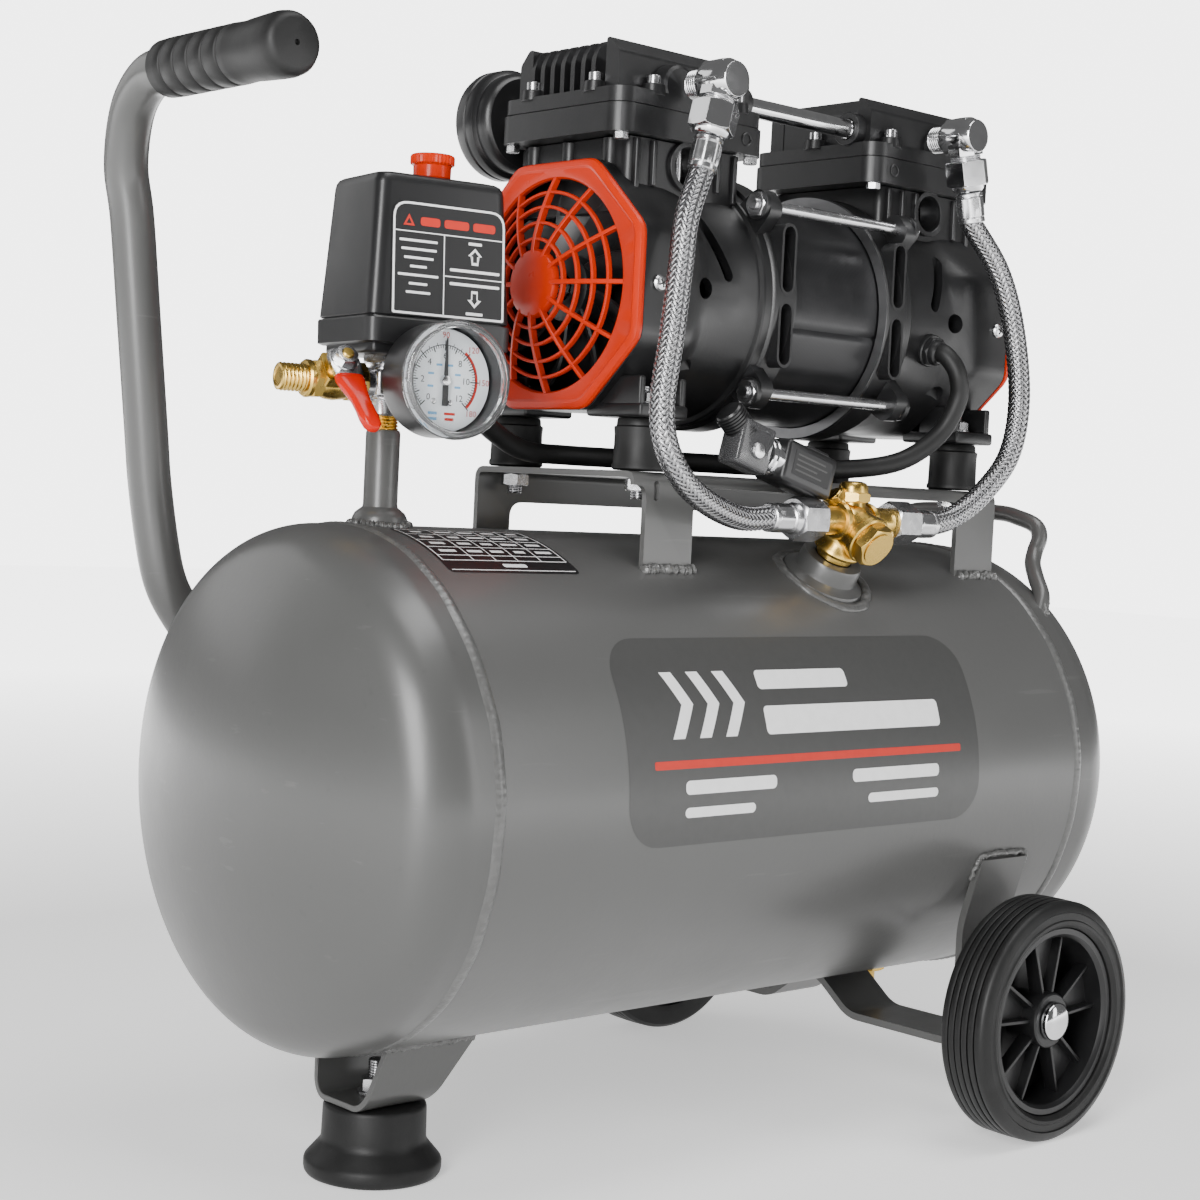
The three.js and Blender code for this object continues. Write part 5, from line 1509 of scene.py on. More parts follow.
stator_piece()
for rod_label, rod_y, rod_dz in ROD_PLACES:
    tie_rod_pieces(rod_label, rod_y, rod_dz)
crossover_piece()


# ------------------------------------------------------------------ intake filter
def intake_filter_piece():
    low, high = local_box("intake_filter")
    centre = Vector(((low.x + high.x) / 2, 0, (low.z + high.z) / 2))
    y = low.y
    profile = [
        (0, y), (11, y), (11.4, y + 0.6), (11.4, y + 6), (22.5, y + 6), (24.0, y + 7), (25.4, y + 9.5),
        (25.4, y + 14.4), (26.0, y + 14.8), (27.6, y + 15.4), (28.0, y + 16.2), (28.0, y + 20.0),
        (27.3, y + 20.6), (27.3, y + 21.4), (28.0, y + 22), (28.0, y + 26.4), (27.2, y + 28.6),
        (25, y + 30), (20, y + 30.5), (19, y + 29.2), (0, y + 29.2),
    ]
    at = aim(centre, (0, 1, 0))
    body = lathe(profile, 96).at(at)
    for i in range(24):
        body = body + brick(-0.7, 0.7, 19.4, 24.0, y + 28.8, y + 30.8, edge=0.3).at(at @ turn("Z", 15 * i))
    make("intake_filter_can", body, "black_plastic", replaces=["intake_filter"], smooth=32)


intake_filter_piece()


# ------------------------------------------------------------------ motor cable and its gland
GLAND_ANGLE = 14.0
GLAND_X = 341.0


def along_gland(distance):
    a, b = polar(distance, 180 + GLAND_ANGLE)
    return Vector((GLAND_X, a, MOTOR_Z + b))


def motor_cable_pieces():
    direction = along_gland(1) - along_gland(0)
    at = aim(along_gland(60.0), direction)
    collar = lathe([(0, 0), (8.6, 0), (8.8, 0.6), (8.8, 2.6), (8.2, 3.2), (0, 3.2)], 48)
    sleeve = lathe([(0, 5.6), (7.0, 5.6), (7.0, 7.0), (6.4, 8.8), (5.4, 9.6), (0, 9.6)], 40)
    make("cable_gland", (collar + hexagon(14.6, 3.0, 6.0) + sleeve).at(at), "black_plastic")
    switch_base = local_box("switch_base")[0].z
    route = [
        along_gland(66.3), along_gland(73), (344, -77, 398), (347, -76, 384), (340, -70, 365),
        (322, -60, 350), (295, -46, 344), (260, -30, 343), (220, -12, 343), (180, 2, 343), (145, 10, 343),
        (118, 10, 344), (98, 8, 351), (80, 2, 360), (70, -4, 371), (68, -6, 379),
        (68, -6, switch_base - 0.6),
    ]
    make("motor_cable_sheath", sweep(curve(route, steps=8), circle(5.0, steps=32)), "rubber",
         replaces=["motor_cable"])


motor_cable_pieces()

for hidden in ("piston_rod_front", "piston_rod_rear", "rotor_shaft"):
    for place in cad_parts[hidden].material_slots:
        place.material = MATERIALS["zinc_steel"]
# ------------------------------------------------------------------ pressure switch group
SWITCH = move(32.5) @ turn("Z", -9.7)
RISER_X, RISER_TOP = -8.0, local_box("riser_pipe")[1].z
RISER = move(RISER_X)
SWITCH_LEFT, SWITCH_RIGHT, SWITCH_FRONT, SWITCH_BACK = -29.7, 43.6, -25.0, 32.0
BASE_Z = local_box("switch_base")[0].z
COVER_Z, COVER_TOP = local_box("switch_cover")[0].z, local_box("switch_cover")[1].z
MANIFOLD_Z = 370.0
FACE_LEAN = 3.35
LABEL = move(0, SWITCH_FRONT - 0.02, COVER_Z) @ turn("X", -FACE_LEAN) @ towards_near(0)
LABEL_PRINT = (0.42, 0.52)
KNOB = move(13, 3)


def in_switch(name, shape, finish, **more):
    return make(name, shape.at(SWITCH), finish, **more)


def riser_pieces():
    top = RISER_TOP
    profile = [
        (0, 292), (12.8, 292), (13.2, 305.0), (12.8, 308.2), (11.6, 310.6), (9.6, 312.2), (8.3, 313.2),
        (8.0, 314.5), (8.0, top - 1.6), (7.6, top - 0.4), (6.9, top), (0, top),
    ]
    in_switch("riser_tube", lathe(profile, 64).at(RISER), "grey_paint", replaces=["riser_pipe"], smooth=35)
    foot = SWITCH @ Vector((RISER_X, 0, 0))
    weld = [on_receiver(foot.x + a, 90 - math.degrees(math.asin((foot.y + b) / RADIUS)), lift=0.3)
            for a, b in circle(13.6, steps=24)]
    weld_run("riser_weld", weld + weld[:1], radius=1.9, seed=71)
    in_switch("riser_thread", thread(6.9, top - 1.0, 357.5, pitch=1.5, depth=0.9).at(RISER), "brass")

    body = lathe([(0, 355.2), (7.4, 355.2), (8.2, 356), (8.2, 362), (7.7, 362.8), (7.7, 377), (0, 377)], 64)
    body = body + hexagon(20.4, 379.2, BASE_Z - 0.3)
    body = (body + thread(7.8, 376.6, 379.4, pitch=1.3, depth=0.6)).at(RISER)
    body = body + brick(RISER_X - 8.4, 5.4, -8.9, 8.9, 363.4, 376.6, edge=2.2)
    stub = rod((RISER_X, 0, MANIFOLD_Z), (-19.8, 0, MANIFOLD_Z), 7.4, steps=40)
    front = rod((-0.6, -6, MANIFOLD_Z + 1.4), (-0.6, -12, MANIFOLD_Z + 1.4), 6.4, steps=40)
    in_switch("manifold_fitting", body + stub + front, "zinc_steel", replaces=["manifold"])


def cover_row(z, inset, grow=0.0):
    """The switch's outline at height z, drawn in by inset and out by grow."""
    inset = inset - grow
    outline = rectangle(SWITCH_LEFT + inset, SWITCH_RIGHT - inset, SWITCH_FRONT + inset, SWITCH_BACK - inset,
                        radius=6.5, steps=8)
    return [(x, y, z) for x, y in outline]


def switch_pieces():
    base = capped([cover_row(BASE_Z + 0.2, 1.2), cover_row(BASE_Z + 1.0, 0.1, 0.5),
                   cover_row(COVER_Z - 1.3, 0.0, 0.6),
                   cover_row(COVER_Z - 0.6, 0.3, 0.5), cover_row(COVER_Z - 0.5, 1.6),
                   cover_row(COVER_Z + 0.4, 1.6)])
    recess = brick(-26, 40, -21.5, 28.5, BASE_Z - 4.2, BASE_Z + 2, edge=2.0)
    in_switch("switch_base_moulding", base + recess, "black_plastic", replaces=["switch_base"], smooth=28)
    top = COVER_TOP
    heights = ((COVER_Z, 0.5), (COVER_Z + 0.6, 0.05), (top - 5.2, 3.5), (top - 3.0, 3.9), (top - 1.3, 4.8),
               (top - 0.4, 6.2), (top, 8.0))
    cover = capped([cover_row(z, inset) for z, inset in heights])
    ring = [(6.2, top - 1), (11.6, top - 1), (11.6, top + 0.5), (10.8, top + 1.1), (6.2, top + 1.1),
            (6.2, top - 1)]
    in_switch("switch_cover_moulding", cover + lathe(ring, 48).at(KNOB), "black_plastic",
              replaces=["switch_cover"], smooth=28)
    screw = lathe([(0, 1.9), (2.4, 1.7), (3.3, 0.9), (3.4, 0), (0, 0)], 32).at(move(34, 18, top - 0.2))
    in_switch("switch_cover_screw", screw, "zinc_steel")


def label_bar(x0, x1, v, height=1.0):
    return plate(rectangle(x0, x1, v - height / 2, v + height / 2, radius=height * 0.35, steps=3),
                 *LABEL_PRINT)


def outline_arrow(x, v, up):
    side = 1 if up else -1
    shape = [(x - 1.7, v - 3.6 * side), (x - 1.7, v + 0.6 * side), (x - 3.6, v + 0.6 * side),
             (x, v + 4.2 * side),
             (x + 3.6, v + 0.6 * side), (x + 1.7, v + 0.6 * side), (x + 1.7, v - 3.6 * side)]
    middle = Vector((x, v))
    hole = [tuple(middle + (Vector(p) - middle) * 0.66) for p in shape]
    return plate(shape, *LABEL_PRINT, [hole])


def switch_label():
    x0, x1, low, high = -19.8, 39.0, 0.7, 52.4

    def inner_outline(gap, radii):
        corners = [(x0 + gap, low + gap), (x1 - gap, low + gap), (x1 - gap, high - gap),
                   (x0 + gap, high - gap)]
        return rounded(corners, radii)

    sheet = plate(inner_outline(0, [1.2, 1.2, 8, 8]), 0.0, 0.4)
    in_switch("switch_label", sheet.at(LABEL), "label_black")

    white = plate(inner_outline(0.5, [1, 1, 7.6, 7.6]), *LABEL_PRINT,
                  [inner_outline(1.5, [0.8, 0.8, 6.6, 6.6])])
    white = white + label_bar(x0 + 1.2, x1 - 1.2, 38.6, 0.5)
    white = white + plate(rectangle(6.65, 7.15, low + 1, 38.6), *LABEL_PRINT)
    white = white + label_bar(7.1, x1 - 1.2, 20.0, 0.5)
    notice = ((-16, 3.4), (-15, 3.0), (-13.6, 1.4), (-10.5, -2.0), (-16.6, 4.0), (-11, -1.6), (-12.4, 0))
    for i, (a, b) in enumerate(notice):
        white = white + label_bar(a, b, 34.6 - 3.9 * i, 1.1)
    white = white + outline_arrow(23, 29.8, True) + outline_arrow(23, 10.8, False)
    for x_a, x_b, v in ((10, 36, 23.2), (10, 36, 16.9), (19.5, 26.5, 35.9), (18.6, 27.4, 3.8)):
        white = white + label_bar(x_a, x_b, v, 1.3)
    in_switch("switch_label_print", white.at(LABEL), "ink_white")
    triangle = ((-14.2, 41.2), (-8.4, 41.2), (-11.3, 46.4))
    opening = ((-12.7, 42.1), (-9.9, 42.1), (-11.3, 44.6))
    red = plate(triangle, *LABEL_PRINT, [opening])
    for a, b in ((-5.4, 4.6), (6.8, 19.6), (21.8, 33.4)):
        red = red + label_bar(a, b, 43.6, 3.9)
    in_switch("switch_label_heading", red.at(LABEL), "ink_red")


def knob_piece():
    low, high = local_box("on_off_knob")
    top = high.z
    profile = [(0, low.z), (4.4, low.z), (4.4, COVER_TOP + 1.8), (8.4, COVER_TOP + 1.8),
               (8.8, COVER_TOP + 2.4),
               (8.9, top - 5.4), (9.4, top - 4.8), (9.4, top - 4.0), (0, top - 4.0)]
    body = lathe(profile, 64)
    steps, teeth = 192, 32
    rows = []
    for z, r in ((top - 4.9, 9.0), (top - 4.7, 10.0), (top - 4.2, 10.4), (top - 0.9, 10.4), (top - 0.3, 10.1),
                 (top, 9.5),
                 (top - 0.1, 8.6), (top - 0.9, 7.6), (top - 1.1, 0.001)):
        serrated = 0.42 if r > 9.8 else 0.0
        rows.append([(*polar(r - serrated * (0.5 + 0.5 * math.cos(2 * math.pi * teeth * j / steps)),
                             360 * j / steps), z) for j in range(steps)])
    in_switch("on_off_button", (body + grid(rows)).at(KNOB), "red_button", body="knob",
              replaces=["on_off_knob"])


riser_pieces()
switch_pieces()
switch_label()
knob_piece()


# ------------------------------------------------------------------ gauge
gauge_low, gauge_high = local_box("gauge_lens")
GAUGE_Z = (gauge_low.z + gauge_high.z) / 2
GAUGE = SWITCH @ move(-0.6, 0, GAUGE_Z) @ towards_near(0)
DIAL = 42.9
DIAL_PRINT = (DIAL + 0.02, DIAL + 0.1)
SCALE_START, SCALE_SWEEP = -135, 270


def clock(radius, degrees):
    """A point of the dial: 0 degrees is the top, and the angle grows clockwise."""
    return polar(radius, 90 - degrees)


def dial_tick(degrees, r0, r1, width):
    a, b = clock(r0, degrees)
    c, d = clock(r1, degrees)
    n, m = clock(width / 2, degrees + 90)
    return plate([(a - n, b - m), (a + n, b + m), (c + n, d + m), (c - n, d - m)], *DIAL_PRINT)


def dial_bar(x0, x1, y0, y1, radius):
    return plate(rectangle(x0, x1, y0, y1, radius=radius), *DIAL_PRINT)


def dial_arc(start, end, r0, r1):
    steps = max(int(abs(end - start) / 3), 2)
    angles = [start + (end - start) * k / steps for k in range(steps + 1)]
    rows = [[(*clock(r0, a), DIAL + 0.08), (*clock(r1, a), DIAL + 0.08)] for a in angles]
    return grid(rows, wrap=False)


def number(text, size, x, y, height):
    """Figures as a thin sheet, centred at x, y."""
    letters = bpy.data.curves.new("figures", "FONT")
    letters.body = text
    letters.size = size
    letters.align_x = "CENTER"
    letters.align_y = "CENTER"
    letters.resolution_u = 2
    holder = link(bpy.data.objects.new("figures", letters))
    bpy.context.view_layer.update()
    mesh = bpy.data.meshes.new_from_object(holder.evaluated_get(bpy.context.evaluated_depsgraph_get()))
    shape = Shape([(v.co.x + x, v.co.y + y, height) for v in mesh.vertices],
                  [tuple(p.vertices) for p in mesh.polygons])
    bpy.data.objects.remove(holder)
    bpy.data.meshes.remove(mesh)
    bpy.data.curves.remove(letters)
    return shape


def gauge_pieces():
    case = [
        (0, 9.3), (4.6, 9.3), (4.6, 28.6), (9, 29.4), (23.4, 29.9), (25.2, 31.2), (25.8, 33.4),
        (25.9, 52.6), (24.0, 52.6), (24.0, 33.0), (0, 33.0),
    ]
    hexed = hexagon(13.0, 10.2, 17.0)
    make("gauge_housing", (lathe(case, 96) + hexed).at(GAUGE), "black_plastic", replaces=["gauge_case"])
    ring = [
        (25.6, 52.4), (26.4, 52.6), (26.6, 53.4), (26.2, 54.0), (26.2, 54.5), (26.5, 55.0), (26.3, 56.2),
        (25.4, 57.3), (24.2, 57.8), (23.2, 57.5), (22.8, 56.8), (23.0, 55.4), (23.4, 53.0), (24.2, 52.4),
        (25.6, 52.4),
    ]
    make("gauge_bezel", lathe(ring, 128).at(GAUGE), "clear_ring", replaces=["gauge_lens"])
    lens = [(0, 56.8), (10, 56.7), (18, 56.4), (23.0, 56.0), (23.0, 55.3), (18, 55.7), (10, 56.0), (0, 56.1)]
    make("gauge_window", lathe(lens, 96).at(GAUGE), "clear_plastic", smooth=60)
    plinth = [(0, 33), (6, 33), (6, DIAL - 1.2), (23.2, DIAL - 1.2), (23.3, DIAL - 0.4), (23.0, DIAL),
              (0, DIAL)]
    make("gauge_dial_plate", lathe(plinth, 96).at(GAUGE), "white_enamel", replaces=["gauge_dial"])

    black = dial_arc(SCALE_START, SCALE_START + SCALE_SWEEP, 15.65, 16.05)
    for i in range(61):
        major = i % 5 == 0
        black = black + dial_tick(SCALE_START + 4.5 * i, 13.3 if major else 14.4, 15.8,
                                  0.55 if major else 0.32)
    for i in range(19):
        major = i % 3 == 0
        black = black + dial_tick(SCALE_START + 15 * i, 15.9, 17.9 if major else 17.0, 0.5 if major else 0.3)
    for i in range(7):
        x, y = clock(11.0, SCALE_START + 45 * i)
        black = black + number(str(2 * i), 4.2, x, y, DIAL + 0.1)
    make("gauge_black_scale", black.at(GAUGE), "ink_black")
    red = dial_arc(38, 134, 15.7, 17.1)
    for i in range(1, 7):
        x, y = clock(20.2, SCALE_START + 45 * i)
        red = red + number(str(30 * i), 3.9, x, y, DIAL + 0.1)
    red = red + dial_bar(0.6, 6.2, -15.4, -14.2, 0.4) + dial_bar(1.0, 5.6, -17.9, -16.6, 0.4)
    make("gauge_red_scale", red.at(GAUGE), "ink_red")
    blue = Shape()
    for angle in (-112, -67, -22, 22, 67, 112):
        x, y = clock(7.4, angle)
        blue = blue + dial_bar(x - 1.5, x + 1.5, y - 0.5, y + 0.5, 0.3)
    for low in (-15.4, -17.9):
        blue = blue + dial_bar(-7.6, -3.0, low, low + 1.3, 0.4)
    make("gauge_blue_scale", blue.at(GAUGE), "ink_blue")
    dots = Shape()
    for x, y in ((-5.0, -9.4), (3.4, -9.8)):
        dots = dots + lathe([(0, 0.9), (0.9, 0.8), (1.35, 0.4), (1.4, 0), (0, 0)], 24).at(move(x, y, DIAL))
    make("gauge_dial_screws", dots.at(GAUGE), "zinc_steel")

    pointer = plate([(-1.4, -11.4), (1.4, -11.4), (1.4, -3.0), (0.95, 3.0), (0.28, 18.9), (-0.28, 18.9),
                     (-0.95, 3.0),
                     (-1.4, -3.0)], DIAL + 1.3, DIAL + 1.9)
    make("gauge_pointer", pointer.at(GAUGE), "ink_black", body="needle", replaces=["gauge_needle"])
    hub = lathe([(0, 0), (2.5, 0), (2.5, 1.2), (2.1, 1.9), (1.2, 2.1), (0, 2.15)], 40)
    make("gauge_pointer_hub", hub.at(GAUGE @ move(0, 0, DIAL + 0.8)), "zinc_steel", body="needle")


gauge_pieces()


# ------------------------------------------------------------------ outlet ball valve and its lever
VALVE_X, STEM_TILT = -35.0, 38.0
VALVE = SWITCH @ move(VALVE_X, 0, MANIFOLD_Z)
LEVER = VALVE @ turn("X", -STEM_TILT) @ towards_near(0)


def outlet_pieces():
    outwards = VALVE @ aim((0, 0, 0), (-1, 0, 0), (0, 1, 0))
    lip = [(4.6, 27.1), (5.7, 26.9), (6.1, 26.2), (6.1, 25), (3.6, 25), (3.6, 26.2), (4.6, 27.1)]
    collar = [(0, 11.2), (7.8, 11.2), (8.6, 11.8), (8.7, 13.4), (8.0, 14.4), (6.2, 14.6), (0, 14.6)]
    belly = [(0, -8), (7.4, -8), (8.6, -5), (9.2, 0), (8.8, 4), (7.6, 6.9), (0, 6.9)]
    body = joined([thread(6.5, 13.6, 26.6, pitch=1.9, depth=0.85, steps=48), lathe(lip, 48),
                   lathe(collar, 48),
                   hexagon(16.4, 6.6, 11.6), lathe(belly, 48), hexagon(17.4, -14.6, -7.2)])
    make("outlet_body", body.at(outwards), "brass", replaces=["outlet_valve_body"])
    pad = plate(rectangle(-8, 8, -8, 8, radius=2.5), 4.0, 9.4)
    boss = lathe([(0, 3), (6.6, 3), (6.8, 9), (6.4, 11.4), (5.8, 11.9), (0, 11.9)], 48)
    make("outlet_bonnet", (pad + boss).at(LEVER), "brass", bevel=0.5)

    root = rounded([(-7.2, 6.0), (6.4, 6.0), (8.0, -1), (6.4, -13), (-6.2, -13), (-7.6, -2)],
                   [4, 5, 3, 1, 1, 3])
    steel = plate(root, 12.7, 14.9)
    steel = steel + hexagon(9.6, 15.0, 19.2, bore=2.9) + tube((0, 0, 14.8), (0, 0, 15.4), 6.6, 3.0)
    make("lever_plate", steel.at(LEVER), "zinc_steel", slot="red_vinyl", body="lever",
         replaces=["outlet_lever"], bevel=0.3)
    stem = rod((0, 0, 11.5), (0, 0, 20.2), 2.8)
    make("lever_stem", stem.at(LEVER), "brass", slot="red_vinyl", body="lever")
    # Sections of the sleeve: the place along the lever, left and right edges, height and half thickness.
    sections = (
        (-8.6, -6.2, 6.6, 13.8, 1.9), (-9.4, -7.0, 7.2, 13.8, 2.6), (-12, -6.9, 7.2, 13.9, 2.9),
        (-16, -5.8, 6.7, 14.3, 2.9), (-20, -4.5, 6.0, 15.0, 2.8), (-25, -3.4, 5.6, 15.8, 2.7),
        (-30, -2.8, 6.0, 16.3, 2.8), (-35, -2.4, 6.8, 16.4, 3.0), (-39, -1.2, 6.8, 16.3, 2.8),
        (-41, 0.6, 5.4, 16.2, 2.0), (-41.8, 2.0, 3.8, 16.1, 0.7),
    )
    turns = [2 * math.pi * k / 32 for k in range(32)]
    rows = []
    for v, left, right, lift, half in sections:
        middle, reach = (left + right) / 2, (right - left) / 2
        rows.append([(middle + reach * math.copysign(abs(math.cos(t)) ** 0.55, math.cos(t)), v,
                      lift + half * math.copysign(abs(math.sin(t)) ** 0.75, math.sin(t))) for t in turns])
    make("lever_vinyl_sleeve", capped(rows).at(LEVER), "red_vinyl", body="lever", smooth=60)


outlet_pieces()
# ------------------------------------------------------------------ elbows and braided hoses
ELBOW_Y = -73.0
ELBOW_Z = HEAD_Z + 26.0
PORT = Vector((262.0, -79.83, 316.86))
FRONT_ROUTE = [(136, -78, 455), (130.5, -81, 430), (123.5, -85, 400), (115.5, -89, 368), (117, -91.5, 348),
               (129, -92, 332),
               (150, -88.5, 322), (178, -82, 316)]
REAR_ROUTE = [(376, -76, 455), (388, -79, 425), (391, -83, 387), (382, -85, 356), (362, -83, 334),
              (342, -80, 321)]


def octagon_bar(across, z0, z1):
    radius = across / 2 / math.cos(math.pi / 8)
    row = circle(radius, steps=8, start=22.5)
    return capped([[(x, y, z0) for x, y in row], [(x, y, z1) for x, y in row]])


def crimped(start, end, radius):
    """A crimped sleeve: a plain lip at each end and a row of pressed flats between them."""
    length = (Vector(end) - Vector(start)).length
    steps, flats = 64, 8
    profile = [
        (0, radius * 0.4), (0, radius - 0.7), (0.5, radius), (1.8, radius), (2.4, radius - 0.8),
        (3.0, radius), (length * 0.5, radius + 0.1), (length - 3.4, radius), (length - 2.9, radius - 0.6),
        (length - 2.4, radius - 0.1), (length - 0.5, radius - 0.1), (length, radius - 0.7),
        (length, radius * 0.4),
    ]
    rows = []
    for z, r in profile:
        depth = 0.4 if 2.9 < z < length - 3.3 else 0.0
        rows.append([(*polar(r - depth * (0.5 - 0.5 * math.cos(2 * math.pi * flats * k / steps)),
                             360 * k / steps), z)
                     for k in range(steps)])
    return capped(rows).at(aim(start, Vector(end) - Vector(start)))


def elbow_piece(name, x, side):
    """Returns the elbow's middle and the direction in which the hose leaves it."""
    lean = math.radians(14)
    down = Vector((side * math.sin(lean), 0, -math.cos(lean)))
    centre = Vector((x, ELBOW_Y, ELBOW_Z))
    outwards = aim(centre, (0, -1, 0), (1, 0, 0))
    nose = lathe([(0, -18), (6.6, -18), (6.6, -10.5), (8.8, -10), (9.8, -7.6), (10.4, -3), (10.5, 2),
                  (10.3, 5.2), (9.0, 8.0),
                  (8.6, 9.4), (8.2, 10.0), (0, 10.2)], 48)
    shoulder = hexagon(18.6, -8.5, 6.0)
    leg = aim(centre, down, (0, -1, 0))
    barrel = octagon_bar(18.0, 0, 9.6) + lathe([(0, 9.6), (7.6, 9.6), (7.6, 12.5), (0, 12.5)], 40)
    nut = hexagon(20.6, 12.2,
                  25.6) + lathe([(0, 25.6), (9.0, 25.6), (8.4, 27.4), (7.2, 28.6), (6.0, 29.0), (0, 29.0)],
                                48)
    shape = (nose + shoulder).at(outwards) + (barrel + nut).at(leg)
    make(name + "_fitting", shape, "chrome", slot="zinc_steel", replaces=[name], bevel=0.35)
    threads = thread(7.0, -19.2, -10.2, pitch=1.35, depth=0.75).at(outwards) + thread(8.2, 9.4, 12.4,
            pitch=1.2, depth=0.6).at(leg)
    make(name + "_thread", threads, "zinc_steel")
    return centre, down


def path_frames(line, gap):
    """Evenly spaced (position along, point, side, second side) along a line."""
    frames = frames_along(line)
    result, travelled = [], 0.0
    for (a, s0, t0), (b, s1, t1) in zip(frames, frames[1:]):
        length = (b - a).length
        steps = max(int(length / gap + 0.5), 1)
        for k in range(steps):
            u = k / steps
            result.append((travelled + length * u, a.lerp(b, u), s0.lerp(s1, u).normalized(),
                           t0.lerp(t1, u).normalized()))
        travelled += length
    result.append((travelled, *frames[-1]))
    return result


def braided_hose(name, line, radius):
    """A liner inside flat wire bundles that pass over two and under two of the opposite bundles."""
    make(name + "_liner", sweep(line, radius - 0.62), "steel_braid_gap", replaces=[name], smooth=60)
    bundles, pitch, half, row_gap = 14, 44.0, 1.2, 0.75
    marks = path_frames(line, row_gap)
    cover = Shape()
    for sense in (1, -1):
        for k in range(bundles):
            rows = []
            for along, point, side, second in marks:
                crossings = 2 * bundles * along / pitch
                middle = 2 * math.pi * (k / bundles + sense * along / pitch)
                wave = sense * math.cos(math.pi / 2 * (2 * k + sense * crossings - 0.5))
                row = []
                for across, drop in ((-1, 0.3), (-0.5, 0.02), (0, 0), (0.5, 0.02), (1, 0.3)):
                    out = radius - 0.3 + 0.24 * wave - drop
                    angle = middle + across * half / radius
                    row.append(point + side * (out * math.cos(angle)) + second * (out * math.sin(angle)))
                rows.append(row)
            cover = cover + grid(rows, wrap=False)
    make(name + "_braid", cover, "steel_braid", smooth=75)


FERRULE_RADIUS, HOSE_RADIUS = 7.3, 6.1


def hoses():
    for name, x, side, route in (("front", 160, -1, FRONT_ROUTE), ("rear", 343, 1, REAR_ROUTE)):
        centre, down = elbow_piece(f"hose_elbow_{name}", x, side)

        def beside(distance):
            return PORT + Vector((side * distance, 0, 0))

        ends = (("top", centre + down * 29.3, centre + down * 45.3), ("bottom", beside(46.6), beside(62.6)))
        for end, start, stop in ends:
            make(f"hose_ferrule_{name}_{end}", crimped(start, stop, FERRULE_RADIUS), "zinc_steel")
        points = [centre + down * 42.0, centre + down * 46.0] + route + [beside(62.0), beside(58.0)]
        braided_hose(f"discharge_hose_{name}", curve(points, steps=10), HOSE_RADIUS)
        nut = aim(beside(27.3), (side, 0, 0), (0, 0, 1))
        body = hexagon(19.6, 0, 17.2) + lathe([(0, 17.0), (8.2, 17.0), (7.6, 18.2), (6.0, 19.6), (0, 19.6)],
                                              40)
        make(f"hose_nut_{name}", body.at(nut), "zinc_steel")


hoses()


# ------------------------------------------------------------------ check valve on its welded boss
CHECK_X, CHECK_TILT = 262.0, 31.0
CHECK = move(CHECK_X, 0, AXIS_Z) @ turn("X", CHECK_TILT)
CHECK_SPOT = CHECK @ Vector((0, 0, 155.0))


def check_boss():
    boss = lathe([(0, 105), (22.2, 105), (22.8, 119.0), (21.6, 121.4), (18.8, 122.8), (17.0, 124.2),
                  (16.6, 126), (16.5, 131.4),
                  (15.7, 132.8), (10.2, 133.1), (9.6, 131), (0, 131)], 72)
    make("check_valve_boss_pad", boss.at(CHECK), "grey_paint", replaces=["check_valve_boss"], smooth=35)
    rows = []
    steps, around = 96, 12
    for i in range(steps):
        angle = 360 * i / steps
        lump = noise.noise(Vector((*polar(3, angle), 5.0)))
        fine = noise.noise(Vector((*polar(9, angle), 9.0)))
        row = []
        for k in range(around):
            across, rise = polar(1.0, 360 * k / around)
            reach = 25.2 + 1.2 * lump + across * (2.8 + 0.5 * fine)
            a, b = polar(reach, angle)
            surface = math.sqrt(max((RADIUS + 0.2) ** 2 - b * b, 1.0))
            row.append((a, b, surface + max(rise, -0.4) * (1.7 + 0.7 * lump + 0.35 * fine)))
        rows.append(row)
    make("check_valve_boss_weld", grid(rows, close=True).at(CHECK), "weld", smooth=70)


def check_body():
    post = lathe([(0, 132.6), (9.0, 132.8), (9.6, 133.6), (9.6, 136.0), (12.4, 137.0), (12.9, 138.4),
                  (12.2, 140.4), (10.6, 142.6),
                  (10.0, 146), (10.6, 150), (10.9, 155), (10.2, 160), (8.0, 163.4), (4.0, 164.6), (0, 164.8)],
                  64)
    arms = rod((-27, 0, 155), (27, 0, 155), 7.4, steps=48, edge=0.8)
    collar = lathe([(7.4, 9.5), (9.2, 8.6), (9.8, 10.4), (9.2, 12.2), (7.4, 12.6), (7.4, 9.5)], 48)
    for side in (1, -1):
        arms = arms + collar.at(aim((0, 0, 155), (side, 0, 0)))
    front = aim((0, 0, 153), (0, -1, 0), (1, 0, 0))
    barrel = lathe([(0, 0), (11.0, 0), (11.6, 6), (11.9, 11.4), (12.6, 12.2), (12.7, 15.4), (11.9, 16.0),
                    (0, 16.0)], 64).at(front)
    cap = hexagon(20.2, 15.9, 22.4).at(front) + lathe([(0, 22.2), (8.2, 22.3), (8.5, 23.0), (0, 23.2)],
                                                      48).at(front)
    rear = rod((-4, 4, 158), (-12, 10, 165), 4.6, steps=32) + hexagon(10.6, 0,
            4.0).at(aim((-9.0, 7.8, 162.2), (-8, 6, 7)))
    shape = (post + arms + barrel + cap + rear).at(CHECK)
    upright = move(*CHECK_SPOT)
    top = lathe([(0, -4), (8.6, -4), (8.2, 3), (7.0, 7), (6.6, 10), (0, 10)], 48)
    top = top + hexagon(15.6, 9.6, 14.6)
    top = top + lathe([(1.3, 17.4), (1.4, 20.0), (2.0, 20.4), (4.2, 20.2), (6.4, 19.4), (7.4, 18.0),
                       (7.6, 16.4), (7.6, 14.4),
                       (0, 14.4), (0, 17.4), (1.3, 17.4)], 48)
    shape = shape + top.at(upright)
    make("check_valve_casting", shape, "brass", replaces=["check_valve_body"], bevel=0.35)


